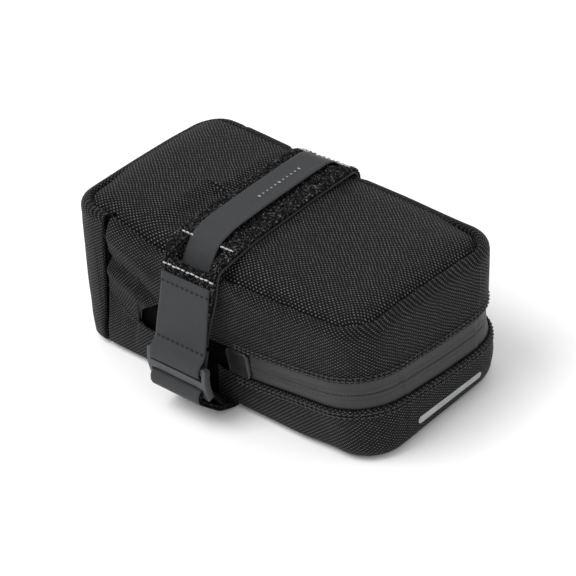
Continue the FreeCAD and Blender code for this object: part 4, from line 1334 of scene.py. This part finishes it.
def make_buckle():
    """The slide buckle: a plate curved about X with two slots, thick rounded end cheeks and soft edges."""
    half, cheek_width = RING_WIDTH / 2, (RING_WIDTH - RING_SLOT) / 2
    xs = mirrored([half - 12, half - 6, half - cheek_width, half - 1.1, half], [0])
    angles = mirrored([2, BAR_MIDDLE, 8.4, BAR_INNER, 15.7, BAR_OUTER - 1.4, BAR_OUTER])
    rows, cols = len(angles), len(xs)
    verts = []
    for side in (1, -1):
        for i, angle in enumerate(angles):
            for j, x in enumerate(xs):
                cheek = float(ease(half - 3.4, half - 2.4, abs(x)))
                corner = i in (0, rows - 1) and j in (0, cols - 1)
                y, z = ring_point(angle * (0.955 if corner else 1), side * (RING_THICK / 2 + 0.25 * cheek))
                verts.append((STRAP_X + 0.4 + x * (0.975 if corner else 1), y, z))
    kept = np.ones((rows - 1, cols - 1), bool)
    for i in range(rows - 1):
        for j in range(cols - 1):
            turn, across = (angles[i] + angles[i + 1]) / 2, (xs[j] + xs[j + 1]) / 2
            kept[i, j] = not (BAR_MIDDLE < abs(turn) < BAR_INNER and abs(across) < RING_SLOT / 2)
    faces, _ = slab_faces(kept)
    ring = new_mesh("buckle_ring_moulding", verts, faces, (BUCKLE,))
    face_out(ring)
    soften(ring, 0.6)
    place(ring, "buckle", "buckle_plastic", "buckle_ring")


# ------------------------------------------------------------------ zip

def side_fraction(x, z):
    """Where an X lies along a side run, at a height."""
    _, rear, _, r, welt = outline_sizes(np.asarray(z, float))
    return (x - welt) / (rear - r - welt)


def on_side(run, x, z, inset):
    """A point on a side wall at an X and a height, with the cloth's swelling."""
    x, z = np.asarray(x, float), np.asarray(z, float)
    f = side_fraction(x, z)
    f = f if run == NEAR else 1 - f
    px, py, nx, ny = plan_point(run, f, z)
    out = swell(run, px, py, z) - inset
    return np.stack([px + nx * out, py + ny * out, z], axis=-1)


def zip_runs(low_x):
    """The outline's runs from an X on the near side round the rear to the same X on the far side."""
    f0 = float(side_fraction(low_x, ZIP_Z))
    near = f0 + (1 - f0) * np.linspace(0, 1, 84)
    return [
        (NEAR, near),
        (REAR_NEAR, np.linspace(0, 1, 25)[1:]),
        (REAR_END, np.linspace(0, 1, 41)[1:]),
        (REAR_FAR, np.linspace(0, 1, 25)[1:]),
        (FAR, (1 - near)[::-1][1:]),
    ]


def tape_inset(distance):
    """Depth of the tape below the wall at a height from the zip's middle: raised over the coil."""
    d = abs(distance)
    return 1.4 - 0.35 * (1 - (d / 7.4) ** 2) - 0.3 * float(1 - ease(1.7, 2.7, d)) + 0.5 * max(0, 0.35 - d)


def make_tapes():
    """Coated tapes that meet over the coil."""
    gaps = [0.05, 0.3, 0.9, 1.6, 2.1, 2.6, 3.4, 4.6, 5.8, 7.2]
    for name, sign in (("upper", 1), ("lower", -1)):
        def rows(run, f, x, y):
            lean = flare(x) if sign < 0 else 0
            middle = zip_line(x, y)
            column = gaps[::sign]
            return [tape_inset(g) - lean * g / 7.2 for g in column], [middle + sign * g for g in column]

        grid = wall_grid(zip_runs(7.5), rows)
        uv = grid_uv(grid)
        if sign < 0:
            uv[..., 1] = uv[..., 1].max() - uv[..., 1]
        made = thick_sheet(f"zip_tape_{name}_cloth", grid, 0.55, TAPE, LINING, uv)
        if sign > 0:
            bend(made, "zip_tape", "zip_tape_upper")
        else:
            place(made, "bag", "zip_tape", "zip_tape_lower")


def make_zip_ends():
    """The cloth that closes each round end of the zip, and its rubber garage. The cloth's black is partly its
    own and partly painted shade of the deep recess.
    """
    def rows(run, f, x, y):
        closed = max(float(ease(3, 0, x + 49)), float(ease(3, 0, 10 - x)))
        return [1.5] + [2.5 - closed] * 10 + [1.5], list(np.linspace(16.5, 39.5, 12))

    steps = np.linspace(float(side_fraction(-49.0, ZIP_Z)), float(side_fraction(10.0, ZIP_Z)), 30)
    for run, name in ((NEAR, "near"), (FAR, "far")):
        grid = wall_grid([(run, steps if run == NEAR else 1 - steps[::-1])], rows)
        # black: partly the backing's own colour, partly painted shade of the recess
        made = thick_sheet(f"zip_end_backing_{name}", grid, 0.6, BLACK_AND_PAINTED_SHADE, LINING)
        place(made, "bag", "zip_tape", f"zip_end_patch_{name}")
        make_garage(run, name)


def make_hem_thread():
    """Two rows of stitches along each hem beside the zip."""
    for name, edge, sign in (("upper", upper_edge, 1), ("lower", lower_edge, -1)):
        places = []
        for gap in (1.35, 3.0):
            def row(run, f, x, y):
                inset = -0.2 - (flare(x) if sign < 0 else 0)
                z = edge(x, y) + sign * gap
                return [inset, inset], [z, z + 0.01]

            line = wall_grid(zip_runs(9.0), row)[0]
            outs = np.cross(np.gradient(line, axis=0), np.array([0, 0, 1.0]))
            outs /= np.linalg.norm(outs, axis=1, keepdims=True)
            places += stitch_line(line, outs, 2.5)
        made = stitches(f"hem_thread_{name}", places, BODY_THREAD, 1.75, 0.27)
        if sign > 0:
            bend(made, "body_weave")
        else:
            place(made, "bag", "body_weave")


def make_garage(run, name):
    """The rubber patch over the start of the zip: a rounded pillow with a rim."""
    x0, x1, half, r = 5.0, 17.6, 6.4, 2.3
    side = -43 if run == NEAR else 43
    u = packed(34)
    xs, zs, depth = [], [], []
    for t in packed(22):
        over = max(abs(t) * half - (half - r), 0)
        cut = r - math.sqrt(max(r * r - over * over, 0))
        xs.append((x0 + x1) / 2 + u * ((x1 - x0) / 2 - cut))
        zs.append(zip_line(xs[-1], side) + t * half)
        edge = np.minimum((1 - abs(t)) * half, (1 - np.abs(u)) * ((x1 - x0) / 2))
        groove = 0.28 * bell(edge, 0.8, 0.4)
        depth.append(-0.5 + 1.1 * np.exp(-edge / 0.25) - groove + 0.12 * ease(1.2, 1.6, edge))
    grid = on_side(run, xs, zs, np.array(depth))
    made = thick_sheet(f"zip_garage_rubber_{name}", grid, 0.9, RUBBER, RUBBER, flip=(run == FAR))
    place(made, "bag", "garage_rubber", f"zip_garage_{name}")


def make_mark():
    """A plain reflective bar low on the rear end."""
    half, r, reach = 1.7, 1.6, 19.0
    u = packed(40)
    rows = []
    for t in packed(8):
        y = 3.0 + u * (reach - r + math.sqrt(max(r * r - (t * r) ** 2, 0)))
        z = np.full_like(y, 9.4 + t * half)
        rear = outline_sizes(z)[1]
        edge = np.minimum((1 - abs(t)) * half, (1 - np.abs(u)) * reach)
        out = swell(REAR_END, rear, y, z) + 0.75 * flare(80) + 0.32 - 0.3 * np.exp(-edge / 0.2)
        rows.append(np.stack([rear + out, y, z], axis=-1))
    made = thick_sheet("reflective_bar", askew(np.array(rows)), 0.3, REFLECTIVE, REFLECTIVE)
    place(made, "bag", "reflective", "reflective_mark")


def make_piping():
    """Dark piping at the bottom of the groove beside the front panel, sunk in at both ends."""
    for name, sign, top in (("near", -1, 70.0), ("far", 1, 63.0)):
        verts = []
        for z in np.linspace(2.0, top, 60):
            _, _, half, _, welt = outline_sizes(z)
            sunk = 4.0 * float(1 - ease(0, 8, z)) + 4.0 * float(ease(top - 8, top, z))
            for m in range(8):
                angle = 2 * math.pi * m / 8
                y = half - 2.6 - sunk + 0.9 * math.sin(angle)
                verts.append((welt + 0.9 * math.cos(angle), sign * y, z))
        made = new_mesh(f"welt_piping_{name}", askew(np.array(verts)), tube_faces(0, 60, 8), (BLACK_AND_PAINTED_SHADE,))
        place(made, "bag", "piping", f"piping_{name}")


def make_seam_thread():
    """Black thread in the groove of the top seam, its black also painted shade at the bottom of the groove.
    """
    places = []
    for spans in ([(NEAR, np.linspace(0.03, 1, 90))],
                  [(REAR_NEAR, np.linspace(0, 1, 20)), (REAR_END, np.linspace(0, 1, 40)[1:])]):
        def row(run, f, x, y):
            level = top_height(*seam_point(run, f)) - LIP_DROP
            return [4.75, 4.75], [level - 1.0, level - 0.99]
        line = wall_grid(spans, row)[0]
        outs = np.zeros_like(line) + np.array([0, 0, 1.0])
        places += stitch_line(line, outs, 1.9)
    bend(stitches("seam_thread", places, BLACK_THREAD, 1.3, 0.42), "body_weave")


def make_bindings():
    """Webbing bound over the allowances of the top and base seams, inside the bag."""
    nodes = {
        "top_binding_side": ("top_seam_binding_front", "top_seam_binding_rear"),
        "top_binding_front": (),
        "base_binding_side": ("base_seam_binding",),
        "base_binding_front": (),
    }
    for name, hidden in nodes.items():
        def rows(run, f, x, y):
            low = top_height(x, y) - 10.5 if name.startswith("top") else 6.5
            return [welt_curl(run, f)] * 5, list(low + np.linspace(0, 4, 5))

        grid = wall_grid(SIDE_RUNS if name.endswith("side") else FRONT_RUNS, rows)
        made = thick_sheet(name, grid - grid_normals(grid) * 1.75, 0.6, WEBBING, WEBBING)
        if name == "top_binding_side":
            bend(made, "webbing", *hidden)
        else:
            place(made, "bag", "webbing", *hidden)


def make_lid_board():
    """The thin board that stiffens the rear of the top panel."""
    x, y = np.meshgrid(np.linspace(20, 66, 47), np.linspace(-24, 24, 25))
    board = np.stack([x, y, top_form(x, y) - 2.3], axis=-1)
    bend(thick_sheet("lid_board", board, 1.2, BOARD, BOARD), "board", "top_stiffener_rear")


def make_pocket():
    """The mesh pocket on the inside of the far wall, with a gathered elastic along its top."""
    x0, x1, low, high = -60, -34, 14, 45
    x, z = np.meshgrid(np.linspace(x0, x1, 40), np.linspace(low, high, 46))
    edge = np.minimum(np.minimum(x - x0, x1 - x), z - low)
    fullness = np.sin((x - x0) / (x1 - x0) * math.pi) * np.sin((z - low) / 46 * math.pi)
    pocket = np.stack([x, 33.8 - 1.3 * fullness + 5.0 * np.exp(-edge / 0.9), z], axis=-1)
    place(thick_sheet("pocket_mesh_panel", pocket, 0.5, MESH, MESH), "bag", "mesh", "inner_pocket")
    x, z = np.meshgrid(np.linspace(x0, x1, 120), np.linspace(high - 5, high, 9))
    turn = (x - x0) / (x1 - x0) * math.pi
    elastic = np.stack([x, 32.4 - 0.35 * np.sin(turn * 14) - 1.0 * np.sin(turn), z], axis=-1)
    made = thick_sheet("pocket_elastic_band", elastic, 0.9, ELASTIC, ELASTIC)
    place(made, "bag", "elastic", "pocket_elastic")


def dress_nodes():
    """Materials for the CAD nodes that are shown as they are."""
    looks = {
        "zip_coil_lower": COIL,
        "zip_coil_upper": COIL,
        "zip_slider": PAINT,
        "pull_link": PAINT,
        "pull_grip": RUBBER,
        "base_stiffener": BOARD,
        "top_stiffener_front": BOARD,
    }
    for node, material in looks.items():
        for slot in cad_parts[node].material_slots:
            slot.material = material


# ------------------------------------------------------------------ camera and light

AZIMUTH, ELEVATION, ROLL = (math.radians(v) for v in (47.21, 34.44, -8.24))
AIM, DISTANCE = (-0.00074, 0.00103, 0.032), 0.830  # metres


def make_camera():
    """The camera: three-quarter view from the rear near corner, well above the bag, slightly rolled."""
    level = math.cos(ELEVATION)
    back = Vector((math.sin(AZIMUTH) * level, -math.cos(AZIMUTH) * level, math.sin(ELEVATION)))
    right = (-back).cross(Vector((0, 0, 1))).normalized()
    up = right.cross(-back)
    c, s = math.cos(ROLL), math.sin(ROLL)
    right, up = c * right + s * up, c * up - s * right
    camera = bpy.data.objects.new("camera", bpy.data.cameras.new("camera"))
    camera.data.lens = 125
    camera.data.sensor_width = 36
    camera.data.clip_start = 0.01
    turned = Matrix((right, up, back)).transposed().to_4x4()
    camera.matrix_world = Matrix.Translation(Vector(AIM) + back * DISTANCE) @ turned
    bpy.context.scene.collection.objects.link(camera)
    bpy.context.scene.camera = camera


def studio():
    """A pale floor, a white surround and three large soft lights."""
    bpy.ops.mesh.primitive_plane_add(size=6, location=(0, 0, -0.0002))
    floor = bpy.context.object
    floor.name = "floor"
    n = Nodes("pale_floor")
    tone = n.noise(n.object_point(), 3, 2)
    floor.data.materials.append(n.finish(n.mix(tone, (0.9, 0.9, 0.9), (0.93, 0.93, 0.93)), 0.9, 0.1))
    bpy.context.scene.view_settings.view_transform = "Standard"
    world = bpy.data.worlds.new("surround")
    bpy.context.scene.world = world
    world.use_nodes = True
    world.node_tree.nodes["Background"].inputs[0].default_value = (1, 1, 1, 1)
    world.node_tree.nodes["Background"].inputs[1].default_value = 0.88
    for name, spot, size, power in (
        ("key_light", (-0.4, -0.65, 1.4), 0.95, 16),
        ("rear_light", (1.1, 0.5, 0.9), 0.8, 1.0),
        ("fill_light", (0.6, -1.2, 0.5), 0.9, 0.4),
    ):
        light = bpy.data.lights.new(name, "AREA")
        light.size = size
        light.energy = power
        lamp = bpy.data.objects.new(name, light)
        lamp.location = spot
        lamp.rotation_euler = (-Vector(spot)).to_track_quat("-Z", "Y").to_euler()
        bpy.context.scene.collection.objects.link(lamp)


random.seed(SEED)
make_camera()
studio()
make_side_walls()
make_front()
make_top()
make_base()
make_tapes()
make_zip_ends()
make_hem_thread()
make_mark()
make_piping()
make_seam_thread()
make_bindings()
make_lid_board()
make_pocket()
wing_path = make_wing()
make_band()
make_facing()
make_wing_thread(wing_path)
make_tail()
make_roll()
make_free_end()
make_buckle()
dress_nodes()
